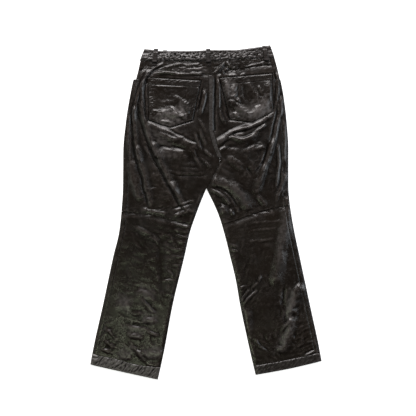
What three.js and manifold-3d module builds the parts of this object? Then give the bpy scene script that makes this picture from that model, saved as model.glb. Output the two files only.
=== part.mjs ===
// Leather trousers with a jeans cut, laid flat with the back facing up.
// Millimetres, +Z up. The fronts rest on z = 0, the waist points to +Y and the wearer's left leg
// is on the -X side. The origin is below the middle of the laid garment.

import * as THREE from 'three';
import { mergeVertices } from 'three/addons/utils/BufferGeometryUtils.js';
import Module from 'manifold-3d';

const wasm = await Module();
wasm.setup();

// Leather and seams
const leather = 1.3;            // wall of every single layer
const bandWall = 2.4;           // waistband, two layers sewn
const hemWall = 1.6;            // turned hem, skived where it is folded
const seam = 0.3;               // clearance between neighbouring pieces
const rollRadius = 4.0;         // how far the rolled outer edge takes to turn over
const laidHeight = 6.4;         // top of the back panels above the surface
const sideSeamInset = 17;       // the side seams lie this far inside the outline, on the back
const edgeSlope = 11;           // the back panels come down to the inseam over this width

// Waist, rise and hem levels on the centre line
const crotchLevel = 164;
const forkLevel = 75;           // the legs part here
const bandTop = 7.6;            // top of the waistband above the surface
const bandFloor = 1.6;          // the front of the waistband lies on its loops and button
const loopWidth = 13.4;
const loopWall = 2;
const loopClearance = 5;        // room for a belt between the waistband and a loop
const flatTrim = 1.3;           // front loops and button, pressed flat below the waistband

// Front pocket mouths and fly, on the side that lies on the surface
const mouthBottom = 416;
const mouthTop = 500;
const mouthWidth = 96;
const flyWidth = 38;
const flyBottom = 318;
const buttonRadius = 8.5;

// Outlines of both legs: x of the outer edge and of the inner edge at each level y.
// Down to the crotch level the inner edge is the centre seam, which both legs share.
const centreSeam = [
  { y: 525, x: 8 }, { y: 445, x: 12 }, { y: 400, x: 15.5 }, { y: 258, x: 15.5 },
  { y: 241, x: 20 }, { y: 209, x: 29 }, { y: 183, x: 38.5 }, { y: crotchLevel, x: 45 },
];
const leftLeg = {
  side: -1,
  outer: [
    { y: 525, x: -188 }, { y: 509, x: -194 }, { y: 470, x: -209 }, { y: 439, x: -219 },
    { y: 416, x: -227 }, { y: 364, x: -238 }, { y: 289, x: -250 }, { y: 195, x: -259 },
    { y: 83, x: -260 }, { y: 0, x: -265 }, { y: -61, x: -272 }, { y: -136, x: -290 },
    { y: -286, x: -322 }, { y: -411, x: -350 }, { y: -476, x: -362 }, { y: -525, x: -368 },
  ],
  inner: [
    { y: forkLevel, x: 1 }, { y: 39, x: -14 }, { y: -11, x: -33 },
    { y: -61, x: -50 }, { y: -136, x: -67 }, { y: -286, x: -103.5 }, { y: -436, x: -131.5 },
    { y: -525, x: -151 },
  ],
  mouthStep: 8,
};
const rightLeg = {
  side: 1,
  outer: [
    { y: 525, x: 200 }, { y: 509, x: 206 }, { y: 470, x: 219 }, { y: 439, x: 227.5 },
    { y: 402, x: 236 }, { y: 364, x: 243 }, { y: 289, x: 252 }, { y: 195, x: 258 },
    { y: 83, x: 258 }, { y: 39, x: 261 }, { y: -11, x: 268 }, { y: -61, x: 277 },
    { y: -136, x: 293 }, { y: -286, x: 325 }, { y: -411, x: 352 }, { y: -465, x: 362 },
    { y: -525, x: 374 },
  ],
  inner: [
    { y: forkLevel, x: 1 }, { y: 62, x: 7 }, { y: 39, x: 19 },
    { y: -11, x: 40.5 }, { y: -61, x: 56 }, { y: -136, x: 75 }, { y: -211, x: 93 },
    { y: -286, x: 106 }, { y: -436, x: 138 }, { y: -525, x: 159 },
  ],
  mouthStep: 2,
};

// Cross seams: level y at each share of the way from the inner edge (0) to the outer edge (1)
leftLeg.waistTop = [
  { share: 0, y: 508 }, { share: 0.3, y: 505 }, { share: 0.78, y: 505.5 }, { share: 0.9, y: 509.5 },
  { share: 1, y: 511 },
];
leftLeg.bandSeam = [{ share: 0, y: 473 }, { share: 1, y: 474 }];
leftLeg.yokeSeam = [{ share: 0, y: 431 }, { share: 0.2, y: 436 }, { share: 0.5, y: 443 }, { share: 1, y: 451 }];
leftLeg.kneeSeam = [
  { share: 0, y: -37 }, { share: 0.2, y: -28 }, { share: 0.33, y: -22 }, { share: 0.5, y: -12 },
  { share: 0.77, y: -2 }, { share: 1, y: 4 },
];
leftLeg.hemSeam = [
  { share: 0, y: -484 }, { share: 0.25, y: -479 }, { share: 0.48, y: -469 }, { share: 0.66, y: -457 },
  { share: 0.84, y: -450 }, { share: 1, y: -442 },
];
leftLeg.hemEdge = [{ share: 0, y: -522.75 }, { share: 0.5, y: -500 }, { share: 1, y: -476 }];
rightLeg.waistTop = [
  { share: 0, y: 508 }, { share: 0.4, y: 508 }, { share: 0.55, y: 511 }, { share: 0.77, y: 516.5 },
  { share: 0.9, y: 519.5 }, { share: 1, y: 522.75 },
];
rightLeg.bandSeam = [{ share: 0, y: 473 }, { share: 0.2, y: 476 }, { share: 1, y: 484 }];
rightLeg.yokeSeam = [
  { share: 0, y: 431 }, { share: 0.12, y: 435 }, { share: 0.36, y: 447 }, { share: 0.64, y: 455 },
  { share: 1, y: 464 },
];
rightLeg.kneeSeam = [
  { share: 0, y: -38 }, { share: 0.235, y: -23 }, { share: 0.48, y: -5 }, { share: 0.68, y: 8 },
  { share: 1, y: 24 },
];
rightLeg.hemSeam = [{ share: 0, y: -480 }, { share: 0.5, y: -461 }, { share: 1, y: -438 }];
rightLeg.hemEdge = [{ share: 0, y: -508 }, { share: 0.5, y: -489 }, { share: 1, y: -465 }];

// The largest folds of the back, each a soft ridge along a bent line from a over b to c.
// reach is half the width of the ridge, rise is its height.
leftLeg.folds = [
  { name: 'long drape, upper', a: [-197, 300], b: [-178, 223], c: [-140, 150], reach: 20, rise: 6 },
  { name: 'long drape, lower', a: [-150, 175], b: [-119, 110], c: [-84, 20], reach: 20, rise: 6.5 },
  { name: 'side drape, upper', a: [-196, 436], b: [-222, 327], c: [-232, 215], reach: 18, rise: 4 },
  { name: 'side drape, lower', a: [-222, 215], b: [-204, 120], c: [-178, 28], reach: 20, rise: 5 },
  { name: 'under the pocket', a: [-180, 262], b: [-106, 232], c: [-24, 200], reach: 22, rise: 5 },
  { name: 'seat swell', a: [-150, 170], b: [-105, 166], c: [-60, 180], reach: 20, rise: 4 },
  { name: 'knee wedge', a: [-128, -14], b: [-80, 0], c: [-34, 18], reach: 18, rise: 4.5 },
  { name: 'shin slant', a: [-236, -44], b: [-178, -68], c: [-128, -104], reach: 18, rise: 3 },
  { name: 'calf slant', a: [-228, -246], b: [-184, -288], c: [-146, -322], reach: 20, rise: 4.5 },
  { name: 'ankle swell', a: [-196, -416], b: [-166, -432], c: [-138, -440], reach: 24, rise: 4.5 },
];
rightLeg.folds = [
  { name: 'outer drape', a: [228, 330], b: [204, 223], c: [156, 100], reach: 20, rise: 6.5 },
  { name: 'below the pocket', a: [30, 215], b: [76, 252], c: [196, 292], reach: 18, rise: 6 },
  { name: 'seat fold', a: [34, 198], b: [98, 236], c: [186, 262], reach: 17, rise: 6 },
  { name: 'inner thigh', a: [16, 92], b: [84, 88], c: [130, 8], reach: 22, rise: 7 },
  { name: 'knee side', a: [250, 140], b: [238, 83], c: [218, 30], reach: 18, rise: 4 },
  { name: 'shin ridge', a: [248, 4], b: [226, -100], c: [211, -222], reach: 22, rise: 5 },
  { name: 'calf ridge', a: [300, -228], b: [262, -320], c: [228, -444], reach: 22, rise: 6 },
  { name: 'inner calf slant', a: [170, -198], b: [146, -244], c: [112, -286], reach: 18, rise: 4 },
];

// Back pockets: corners of the five-sided patch, and the swells that its leather keeps
const leftPocket = {
  leg: leftLeg,
  topOuter: [-181, 420], topInner: [-17, 411], lowInner: [-42.5, 289], tip: [-111, 267], lowOuter: [-177.5, 289],
  swells: [{ a: [-150, 310], b: [-110, 306], c: [-60, 318], reach: 26, rise: 3 }],
};
const rightPocket = {
  leg: rightLeg,
  topOuter: [206, 433], topInner: [44, 419], lowInner: [76, 291], tip: [144, 283], lowOuter: [207.5, 316],
  swells: [{ a: [184, 400], b: [178, 360], c: [150, 306], reach: 24, rise: 3 }],
};
const pocketHem = 19;           // the folded top of a pocket
const pocketHemExtra = 0.8;     // and how much it stands above the rest

const backLoops = [
  { name: 'belt_loop_back_left', leg: leftLeg, top: [-155.6, 511], bottom: [-162, 459] },
  { name: 'belt_loop_back_centre', leg: leftLeg, top: [7, 511], bottom: [7.5, 459] },
  { name: 'belt_loop_back_right', leg: rightLeg, top: [182, 520], bottom: [190, 464] },
];
const frontLoops = [
  { name: 'belt_loop_front_left', x: -128, bottom: 476, top: 508 },
  { name: 'belt_loop_front_right', x: 190, bottom: 488, top: 520 },
];
const seamStrip = { name: 'centre_back_strip', width: 12, top: 429, bottom: 172 };

// Small mathematics
const mix = (a, b, t) => a + (b - a) * t;
const clamp01 = (t) => Math.min(1, Math.max(0, t));
const smooth = (t) => {
  const c = clamp01(t);
  return c * c * (3 - 2 * c);
};

// A smooth value from a table whose rows are in order of `key`, without overshoot
function read(table, key, column, at) {
  const falling = table[0][key] > table[table.length - 1][key];
  const rows = falling ? [...table].reverse() : table;
  const last = rows.length - 1;
  if (at <= rows[0][key]) return rows[0][column];
  if (at >= rows[last][key]) return rows[last][column];
  let i = 0;
  while (rows[i + 1][key] < at) i++;
  const slope = (k) => (rows[k + 1][column] - rows[k][column]) / (rows[k + 1][key] - rows[k][key]);
  const tangent = (k) => {
    if (k === 0) return slope(0);
    if (k === last) return slope(last - 1);
    const before = slope(k - 1);
    const after = slope(k);
    return before * after <= 0 ? 0 : (2 * before * after) / (before + after);
  };
  const span = rows[i + 1][key] - rows[i][key];
  const t = (at - rows[i][key]) / span;
  const t2 = t * t;
  const t3 = t2 * t;
  return (2 * t3 - 3 * t2 + 1) * rows[i][column] + (t3 - 2 * t2 + t) * span * tangent(i)
    + (3 * t2 - 2 * t3) * rows[i + 1][column] + (t3 - t2) * span * tangent(i + 1);
}

// Height of one fold at a point: a soft ridge round the curve a-b-c, fading at both ends
const foldSteps = 14;
function foldHeight(fold, x, y) {
  let nearest = Infinity;
  let along = 0;
  for (let i = 0; i <= foldSteps; i++) {
    const t = i / foldSteps;
    const px = (1 - t) * (1 - t) * fold.a[0] + 2 * t * (1 - t) * fold.b[0] + t * t * fold.c[0];
    const py = (1 - t) * (1 - t) * fold.a[1] + 2 * t * (1 - t) * fold.b[1] + t * t * fold.c[1];
    const distance = Math.hypot(x - px, y - py);
    if (distance < nearest) {
      nearest = distance;
      along = t;
    }
  }
  if (nearest >= fold.reach) return 0;
  const across = 0.5 + 0.5 * Math.cos((Math.PI * nearest) / fold.reach);
  return fold.rise * across * Math.sqrt(Math.sin(Math.PI * mix(0.06, 0.94, along)));
}

// How far a point lies inside a pocket's outline, in mm, negative outside
function insidePocket(pocket, x, y) {
  const corners = [pocket.topOuter, pocket.topInner, pocket.lowInner, pocket.tip, pocket.lowOuter];
  const turn = pocket.leg.side;
  let inside = Infinity;
  corners.forEach((from, i) => {
    const to = corners[(i + 1) % corners.length];
    const length = Math.hypot(to[0] - from[0], to[1] - from[1]);
    const distance = ((to[0] - from[0]) * (y - from[1]) - (to[1] - from[1]) * (x - from[0])) / length;
    inside = Math.min(inside, distance * turn);
  });
  return inside;
}

// From the crotch the left leg's edge lies across to the fork, and the right leg's starts there
function innerEdge(leg, y) {
  if (y >= crotchLevel) return read(centreSeam, 'y', 'x', y);
  if (y < forkLevel) return read(leg.inner, 'y', 'x', y);
  const crotchX = centreSeam[centreSeam.length - 1].x;
  return mix(leg.inner[0].x, crotchX, (y - forkLevel) / (crotchLevel - forkLevel));
}

function outerEdge(leg, y) {
  return read(leg.outer, 'y', 'x', y);
}

// Outer edge of the hip above the pocket mouth, where the facing shows
function hipEdge(leg, y) {
  const share = clamp01((mouthTop - y) / (mouthTop - mouthBottom));
  return outerEdge(leg, y) - leg.side * leg.mouthStep * share;
}

function sideSeam(leg, y) {
  return outerEdge(leg, y) - leg.side * sideSeamInset;
}

// Height of the outside of the back above the surface, at any point of one half.
// The leather lies plain under a pocket, under the strip on the centre seam and at the waistband.
const foldMargin = 15;
const foldFade = 12;
function backHeight(leg, x, y) {
  const pocket = leg === leftLeg ? leftPocket : rightPocket;
  const fromCentre = Math.abs(x - innerEdge(leg, y));
  const clearOfPocket = smooth((-insidePocket(pocket, x, y) - foldMargin) / foldFade);
  const clearOfCentre = y > crotchLevel - 20 ? smooth((fromCentre - foldMargin) / foldFade) : 1;
  const clearOfBand = smooth((452 - y) / 24);
  let folds = 0;
  for (const fold of leg.folds) folds = Math.max(folds, foldHeight(fold, x, y));
  const height = laidHeight + folds * clearOfPocket * clearOfCentre * clearOfBand;
  // Below the fork both edges come down to the front; between crotch and fork the left leg
  // stays up and lies against the right one, which dips below it.
  const open = leg.side < 0 ? smooth((forkLevel + 8 - y) / 30) : smooth((crotchLevel - 6 - y) / 26);
  const drop = 1 - Math.sqrt(clamp01(fromCentre / edgeSlope));
  const edgeTop = 2 * leather + 2 * seam;
  return mix(height, mix(height, edgeTop, drop), open);
}

// A closed solid between two grids of points with the same number of rows and columns
function shellBetween(outside, inside) {
  const rows = outside.length;
  const columns = outside[0].length;
  const positions = [...outside.flat(), ...inside.flat()].flat();
  const faces = [];
  const out = (i, j) => i * columns + j;
  const inn = (i, j) => rows * columns + i * columns + j;
  const quad = (a, b, c, d) => faces.push(a, b, c, a, c, d);
  for (let i = 0; i < rows - 1; i++) {
    for (let j = 0; j < columns - 1; j++) {
      quad(out(i, j), out(i, j + 1), out(i + 1, j + 1), out(i + 1, j));
      quad(inn(i, j), inn(i + 1, j), inn(i + 1, j + 1), inn(i, j + 1));
    }
  }
  for (let j = 0; j < columns - 1; j++) {
    quad(out(0, j + 1), out(0, j), inn(0, j), inn(0, j + 1));
    quad(out(rows - 1, j), out(rows - 1, j + 1), inn(rows - 1, j + 1), inn(rows - 1, j));
  }
  for (let i = 0; i < rows - 1; i++) {
    quad(out(i, 0), out(i + 1, 0), inn(i + 1, 0), inn(i, 0));
    quad(out(i + 1, columns - 1), out(i, columns - 1), inn(i, columns - 1), inn(i + 1, columns - 1));
  }
  return facingOut(positions, faces);
}

// Turns the faces round where the solid came out inside out
function facingOut(positions, faces) {
  let volume = 0;
  const point = (i) => new THREE.Vector3().fromArray(positions, 3 * i);
  for (let i = 0; i < faces.length; i += 3) {
    volume += point(faces[i]).dot(point(faces[i + 1]).cross(point(faces[i + 2])));
  }
  const geometry = new THREE.BufferGeometry();
  geometry.setAttribute('position', new THREE.Float32BufferAttribute(positions, 3));
  geometry.setIndex(volume > 0 ? faces : [...faces].reverse());
  return geometry;
}

// Evenly spaced numbers from 0 to 1
const shares = (count) => Array.from({ length: count + 1 }, (_, i) => i / count);

// Levels of a panel's rows: straight guide levels and curved seams, with rows between each pair.
// A level is a number or a seam table; trim moves the ends back from the neighbouring pieces.
function rowLevels(levels, counts) {
  const rows = [];
  levels.slice(0, -1).forEach((upper, block) => {
    const lower = levels[block + 1];
    shares(counts[block]).forEach((t, i) => {
      if (block > 0 && i === 0) return;
      rows.push((share) => mix(levelAt(upper, share), levelAt(lower, share), t));
    });
  });
  const last = rows.length - 1;
  const first = rows[0];
  const final = rows[last];
  rows[0] = (share) => first(share) - seam / 2;
  rows[last] = (share) => final(share) + seam / 2;
  return rows;
}

function levelAt(level, share) {
  return typeof level === 'number' ? level : read(level, 'share', 'y', share);
}

// Share of the way from the inner to the outer edge at which a row meets the side seam
function sideSeamShare(leg, edge, level) {
  const y = level(1);
  const inner = innerEdge(leg, y);
  return (sideSeam(leg, y) - inner) / (edge(leg, y) - inner);
}

// Points across one half of the back, from the inner edge to the side seam, on a row
const backColumns = 16;
function backRow(leg, level, edge, wall, topAt) {
  const reach = sideSeamShare(leg, edge, level);
  const top = [];
  const under = [];
  for (const share of shares(backColumns)) {
    const y = level(share * reach);
    const from = innerEdge(leg, y) + leg.side * (seam / 2);
    const to = sideSeam(leg, y) - leg.side * (seam / 2);
    const x = mix(from, to, share);
    const z = topAt(leg, x, y);
    top.push([x, y, z]);
    under.push([x, y, z - wall]);
  }
  return { top, under };
}

function backPanel(leg, levels, counts) {
  const rows = rowLevels(levels, counts).map((level) => backRow(leg, level, outerEdge, leather, backHeight));
  return shellBetween(rows.map((row) => row.top), rows.map((row) => row.under));
}

// A piece that starts flat at the inner edge, rolls round the outer edge and comes back on top,
// as far as the side seam or, where it goes all round, to the inner edge again.
// Its outer edge and its top are functions of the leg and the place.
const floorCells = 3;
const rollCells = 5;
function wrappedPiece({ leg, levels, counts, edge, allRound, wall, floor, topAt }) {
  const outside = [];
  const inside = [];
  for (const level of rowLevels(levels, counts)) {
    const out = [];
    const inn = [];
    for (const share of shares(floorCells).slice(0, -1)) {
      const y = level(share);
      const turnX = edge(leg, y) - leg.side * rollRadius;
      const x = mix(innerEdge(leg, y) + leg.side * (seam / 2), turnX, share);
      out.push([x, y, floor]);
      inn.push([x, y, floor + wall]);
    }
    const rollY = level(1);
    const turnX = edge(leg, rollY) - leg.side * rollRadius;
    const top = topAt(leg, turnX, rollY);
    const middle = (floor + top) / 2;
    const half = (top - floor) / 2;
    for (const t of shares(rollCells)) {
      const sine = leg.side * Math.sin(t * Math.PI);
      const cosine = Math.cos(t * Math.PI);
      out.push([turnX + rollRadius * sine, rollY, middle - half * cosine]);
      inn.push([turnX + (rollRadius - wall) * sine, rollY, middle - (half - wall) * cosine]);
    }
    if (allRound) {
      const row = backRow(leg, level, edge, wall, topAt);
      out.push(...row.top.reverse());
      inn.push(...row.under.reverse());
    } else {
      const y = level(sideSeamShare(leg, edge, level));
      const x = sideSeam(leg, y) + leg.side * (seam / 2);
      const z = topAt(leg, x, y);
      out.push([x, y, z]);
      inn.push([x, y, z - wall]);
    }
    outside.push(out);
    inside.push(inn);
  }
  return shellBetween(outside, inside);
}

const bandHeight = () => bandTop;

// The turned hems stand a little above the legs
function hemHeight(leg, x, y) {
  return backHeight(leg, x, y) + 0.6;
}

// Cuts by upright prisms
function toSolid(geometry) {
  const bare = geometry.clone();
  bare.deleteAttribute('normal');
  bare.deleteAttribute('uv');
  const merged = mergeVertices(bare, 1e-4);
  return new wasm.Manifold(new wasm.Mesh({
    numProp: 3,
    vertProperties: new Float32Array(merged.attributes.position.array),
    triVerts: new Uint32Array(merged.index.array),
  }));
}

function toGeometry(solid) {
  const { vertProperties, triVerts } = solid.getMesh();
  const geometry = new THREE.BufferGeometry();
  geometry.setAttribute('position', new THREE.Float32BufferAttribute(vertProperties, 3));
  geometry.setIndex(Array.from(triVerts));
  return geometry;
}

const prismDepth = 60;
function prism(points) {
  const shape = new THREE.Shape(points.map(([x, y]) => new THREE.Vector2(x, y)));
  const geometry = new THREE.ExtrudeGeometry(shape, { depth: prismDepth, bevelEnabled: false });
  geometry.translate(0, 0, -prismDepth / 2);
  return toSolid(geometry);
}

// The curved mouth of a front pocket, from the waistband down to the side seam.
// `back` draws the curve in, away from the front panel.
function mouthPrism(leg, back) {
  const edge = outerEdge(leg, mouthBottom);
  const far = edge + leg.side * 40;
  const arc = shares(10).map((t) => {
    const angle = (t * Math.PI) / 2;
    return [
      edge - leg.side * (mouthWidth - back) * Math.cos(angle),
      mouthTop - (mouthTop - mouthBottom - back) * Math.sin(angle),
    ];
  });
  return prism([...arc, [far, mouthBottom + back], [far, mouthTop + 40], [arc[0][0], mouthTop + 40]]);
}

// The fly flap: a strip beside the centre seam with a rounded lower corner.
// `grow` widens the cut in the front panel round it.
function flyPrism(grow) {
  const centreX = innerEdge(leftLeg, flyBottom);
  const outerX = centreX - flyWidth - grow;
  const low = flyBottom - grow;
  const arc = shares(8).map((t) => {
    const angle = (t * Math.PI) / 2;
    return [outerX + flyWidth * (1 - Math.cos(angle)), low + flyWidth * (1 - Math.sin(angle))];
  });
  return prism([...arc, [centreX + 30, low], [centreX + 30, 520], [outerX, 520]]);
}

// Front and back share their rows, so that they meet evenly along the side seam
const yokeRows = 3;
const upperRows = [16, 5, 6];
const lowerRows = 22;
const upperLevels = (leg) => [leg.yokeSeam, crotchLevel, forkLevel, leg.kneeSeam];

function frontUpper(leg, edge) {
  return wrappedPiece({
    leg, levels: [leg.bandSeam, ...upperLevels(leg)], counts: [yokeRows, ...upperRows],
    edge, allRound: false, wall: leather, floor: 0, topAt: backHeight,
  });
}

// The materials: brown-black leather, its slightly warmer cut strips, and dark metal
const leatherDark = new THREE.MeshStandardMaterial({ color: 0x1f1b19, roughness: 0.42, metalness: 0 });
const leatherWorn = new THREE.MeshStandardMaterial({ color: 0x2a2524, roughness: 0.38, metalness: 0 });
const zipTape = new THREE.MeshStandardMaterial({ color: 0x141313, roughness: 0.9, metalness: 0 });
const gunmetal = new THREE.MeshStandardMaterial({ color: 0x4a4744, roughness: 0.35, metalness: 1 });

const trousers = new THREE.Group();
function add(name, geometry, material) {
  const mesh = new THREE.Mesh(geometry, material);
  mesh.name = name;
  trousers.add(mesh);
}

function buildLeg(leg, word) {
  add(`yoke_${word}`, backPanel(leg, [leg.bandSeam, leg.yokeSeam], [yokeRows]), leatherDark);
  add(`back_upper_${word}`, backPanel(leg, upperLevels(leg), upperRows), leatherDark);
  add(`back_lower_${word}`, backPanel(leg, [leg.kneeSeam, leg.hemSeam], [lowerRows]), leatherDark);

  let front = toSolid(frontUpper(leg, outerEdge)).subtract(mouthPrism(leg, 0));
  if (leg === leftLeg) front = front.subtract(flyPrism(seam));
  add(`front_upper_${word}`, toGeometry(front), leatherDark);
  const facing = toSolid(frontUpper(leg, hipEdge)).intersect(mouthPrism(leg, seam));
  add(`pocket_facing_${word}`, toGeometry(facing), leatherDark);
  add(`front_lower_${word}`, wrappedPiece({
    leg, levels: [leg.kneeSeam, leg.hemSeam], counts: [lowerRows],
    edge: outerEdge, allRound: false, wall: leather, floor: 0, topAt: backHeight,
  }), leatherDark);

  add(`hem_${word}`, wrappedPiece({
    leg, levels: [leg.hemSeam, leg.hemEdge], counts: [2],
    edge: outerEdge, allRound: true, wall: hemWall, floor: 0, topAt: hemHeight,
  }), leatherWorn);
  add(`waistband_${word}`, wrappedPiece({
    leg, levels: [leg.waistTop, leg.bandSeam], counts: [2],
    edge: outerEdge, allRound: true, wall: bandWall, floor: bandFloor, topAt: bandHeight,
  }), leatherWorn);
}

// A patch pocket: the points of the panel below it, moved out
function patchPocket(pocket, name) {
  const { leg, topOuter, topInner, lowInner, tip, lowOuter, swells } = pocket;
  const half = 5;
  const across = shares(2 * half);
  const lowAt = (t) => (t <= 0.5
    ? [mix(lowOuter[0], tip[0], 2 * t), mix(lowOuter[1], tip[1], 2 * t)]
    : [mix(tip[0], lowInner[0], 2 * t - 1), mix(tip[1], lowInner[1], 2 * t - 1)]);
  const depth = topOuter[1] - lowOuter[1];
  const down = [0, 0.999 * (pocketHem / depth), 1.001 * (pocketHem / depth), 0.3, 0.45, 0.6, 0.75, 0.88, 1];
  const outside = [];
  const inside = [];
  down.forEach((v, row) => {
    const top = [];
    const under = [];
    for (const t of across) {
      const low = lowAt(t);
      const x = mix(mix(topOuter[0], topInner[0], t), low[0], v);
      const y = mix(mix(topOuter[1], topInner[1], t), low[1], v);
      const lift = swells.reduce((sum, swell) => sum + foldHeight(swell, x, y), 0)
        * smooth(insidePocket(pocket, x, y) / 10);
      const base = backHeight(leg, x, y) + seam + lift;
      top.push([x, y, base + leather + (row < 2 ? pocketHemExtra : 0)]);
      under.push([x, y, base]);
    }
    outside.push(top);
    inside.push(under);
  });
  add(name, shellBetween(outside, inside), leatherDark);
}

// The lapped strip on the centre back seam
function centreStrip() {
  const outside = [];
  const inside = [];
  for (const t of shares(18)) {
    const y = mix(seamStrip.top, seamStrip.bottom, t);
    const middle = innerEdge(leftLeg, y);
    const across = [-0.5, 0.5].map((side) => middle + side * seamStrip.width);
    const z = laidHeight + seam;
    outside.push(across.map((x) => [x, y, z + leather]));
    inside.push(across.map((x) => [x, y, z]));
  }
  add(seamStrip.name, shellBetween(outside, inside), leatherWorn);
}

// A belt loop on the back: both ends lie on the garment and the middle stands off for a belt
function backLoop({ name, top, bottom }) {
  const length = top[1] - bottom[1];
  const stations = [
    { at: 0, under: bandTop + seam }, { at: 8, under: bandTop + seam },
    { at: 11, under: bandTop + loopClearance }, { at: length - 13, under: bandTop + loopClearance },
    { at: length - 8, under: laidHeight + seam }, { at: length, under: laidHeight + seam },
  ];
  const outside = [];
  const inside = [];
  for (const { at, under } of stations) {
    const middle = mix(top[0], bottom[0], at / length);
    const y = top[1] - at;
    const across = [middle - loopWidth / 2, middle + loopWidth / 2];
    outside.push(across.map((x) => [x, y, under + loopWall]));
    inside.push(across.map((x) => [x, y, under]));
  }
  add(name, shellBetween(outside, inside), leatherWorn);
}

function flatBox(name, x, y, z, material) {
  const geometry = new THREE.BoxGeometry(x[1] - x[0], y[1] - y[0], z[1] - z[0]);
  geometry.translate((x[0] + x[1]) / 2, (y[0] + y[1]) / 2, (z[0] + z[1]) / 2);
  add(name, geometry, material);
}

buildLeg(leftLeg, 'left');
buildLeg(rightLeg, 'right');
patchPocket(leftPocket, 'back_pocket_left');
patchPocket(rightPocket, 'back_pocket_right');
centreStrip();
backLoops.forEach(backLoop);
for (const { name, x, bottom, top } of frontLoops) {
  flatBox(name, [x - loopWidth / 2, x + loopWidth / 2], [bottom, top], [0, flatTrim], leatherWorn);
}

// Closure, on the side that lies on the surface
const flap = toSolid(frontUpper(leftLeg, outerEdge)).intersect(flyPrism(0));
add('fly_flap', toGeometry(flap), leatherDark);
const flyX = innerEdge(leftLeg, flyBottom);
flatBox('fly_zip', [flyX - 24, flyX + 6], [flyBottom + 12, 466], [leather + seam, leather + seam + 1.2], zipTape);
const button = new THREE.CylinderGeometry(buttonRadius, buttonRadius, flatTrim, 24);
button.rotateX(Math.PI / 2);
button.translate(innerEdge(leftLeg, 490) - 12, 490, flatTrim / 2);
add('waist_button', button, gunmetal);

export default trousers;
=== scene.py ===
import math
from collections import namedtuple
from functools import partial

import bmesh
import bpy
import numpy as np
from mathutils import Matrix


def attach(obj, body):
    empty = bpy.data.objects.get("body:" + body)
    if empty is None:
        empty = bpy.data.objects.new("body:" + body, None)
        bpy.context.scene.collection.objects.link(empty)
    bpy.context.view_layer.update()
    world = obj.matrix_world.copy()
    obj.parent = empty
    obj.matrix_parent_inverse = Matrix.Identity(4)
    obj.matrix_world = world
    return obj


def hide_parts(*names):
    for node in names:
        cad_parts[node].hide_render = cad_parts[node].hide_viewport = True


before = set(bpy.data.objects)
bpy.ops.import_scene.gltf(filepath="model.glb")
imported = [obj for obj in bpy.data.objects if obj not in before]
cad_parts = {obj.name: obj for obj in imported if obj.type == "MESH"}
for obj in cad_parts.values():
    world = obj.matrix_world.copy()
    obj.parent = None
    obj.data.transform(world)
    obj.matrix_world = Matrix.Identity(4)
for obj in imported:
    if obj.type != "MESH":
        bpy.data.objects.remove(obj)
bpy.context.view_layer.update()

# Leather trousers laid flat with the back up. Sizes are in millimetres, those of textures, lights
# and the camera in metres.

MM = 0.001

# Walls, gaps and heights, as in the solids
LEATHER = 1.3
BAND_WALL = 2.4
HEM_WALL = 1.6
SEAM = 0.3
ROLL_RADIUS = 4.0
LAID_HEIGHT = 6.4
BAND_TOP = 7.6
BAND_FLOOR = 1.6
PATCH_TOP = LAID_HEIGHT + SEAM + LEATHER + 0.5

# Places, as in the solids
SIDE_SEAM_INSET = 17.0
EDGE_SLOPE = 11.0
CROTCH_LEVEL = 164.0
FORK_LEVEL = 75.0
BAND_LEVEL = 473.0
LOOP_WIDTH = 13.4
LOOP_WALL = 2.0
LOOP_CLEARANCE = 5.0
MOUTH_BOTTOM = 416.0
MOUTH_TOP = 500.0
MOUTH_WIDTH = 96.0
FLY_WIDTH = 38.0
FLY_BOTTOM = 318.0
FLY_SIDE = 30.0
ABOVE_WAIST = 520.0
POCKET_HEM = 19.0
STRIP_WIDTH = 12.0
STRIP_TOP = 429.0
STRIP_BOTTOM = 172.0

# Only in this model: the strips beyond the side seams fall, the left leg laps over the right one,
# and the seams of the front lie a little higher than those of the back
EDGE_FALL = 1.8
FORK_LAP = 1.2
FRONT_SHIFT = 1.0

# Flat cuts, width and length; what creases take up; what mouths and fly leave of a front's area,
# and a mouth's curve of a facing's
HEM_CUT = (440, 37)
BAND_CUT = (410, 36)
POCKET_CUT = (166, 156)
FACING_LENGTH = 60.0
CREASE_TAKE = 4
FRONT_SHARE = 0.94
FACING_SHARE = 0.8

# Zip, lying face down behind the fly
ZIP_CENTRE = 6.5
ZIP_HALF_WIDTH = 15.0
ZIP_TOP = 466.0
ZIP_BOTTOM = 330.0
ZIP_FLOOR = 1.6
TAPE_WIDTH = 13.4
TAPE_WALL = 0.6
TEETH_BOTTOM = 336.0
TEETH_TOP = 456.0
TOOTH_PITCH = 2.4
TOOTH_ROOT = 2.8
TOOTH_NECK = 0.3
TOOTH_NOSE = -0.8
TOOTH_WIDTH = 1.3
TOOTH_HEIGHT = 1.1
SLIDER_HEIGHT = 1.2

# Button: radius and height of each ring of its face and rim
BUTTON_RINGS = (
    (4.6, 0.12), (5.4, 0.5), (6.4, 0.45), (7.3, 0.02), (8.2, 0.1), (8.5, 0.6), (8.2, 1.1), (7.0, 1.3),
)
BUTTON_LEVEL = 490.0
BUTTON_FROM_CENTRE = 12
BUTTON_STEPS = 64

# Stitches, and their rows' distances from seams, edges, the pocket's hem, the strip's middle and a
# loop's ends
STITCH = 3.4
STITCH_GAP = 0.7
THREAD = 0.32
THREAD_SIDES = 5
SEAM_ROWS = (3.0, 9.0)
EDGE_ROW = 3.5
POCKET_ROWS = (2.6, 8.4)
POCKET_HEM_ROW = 2.5
STRIP_ROWS = (-3.6, 3.6)
LOOP_ROW_HALF = 5.5

# Mesh steps, the widths that they divide, and numbers of cells
PANEL_STEP = 2.5
FINE_STEP = 1.6
FRONT_STEP = 5.0
EDGE_STEPS = (0.0, 0.5, 1.2, 2.2, 3.6)
BACK_WIDTH = 225
POCKET_SIZE = (164, 150)
FLOOR_CELLS = 26
ROLL_CELLS = 12
TOP_CELLS = 7

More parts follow.
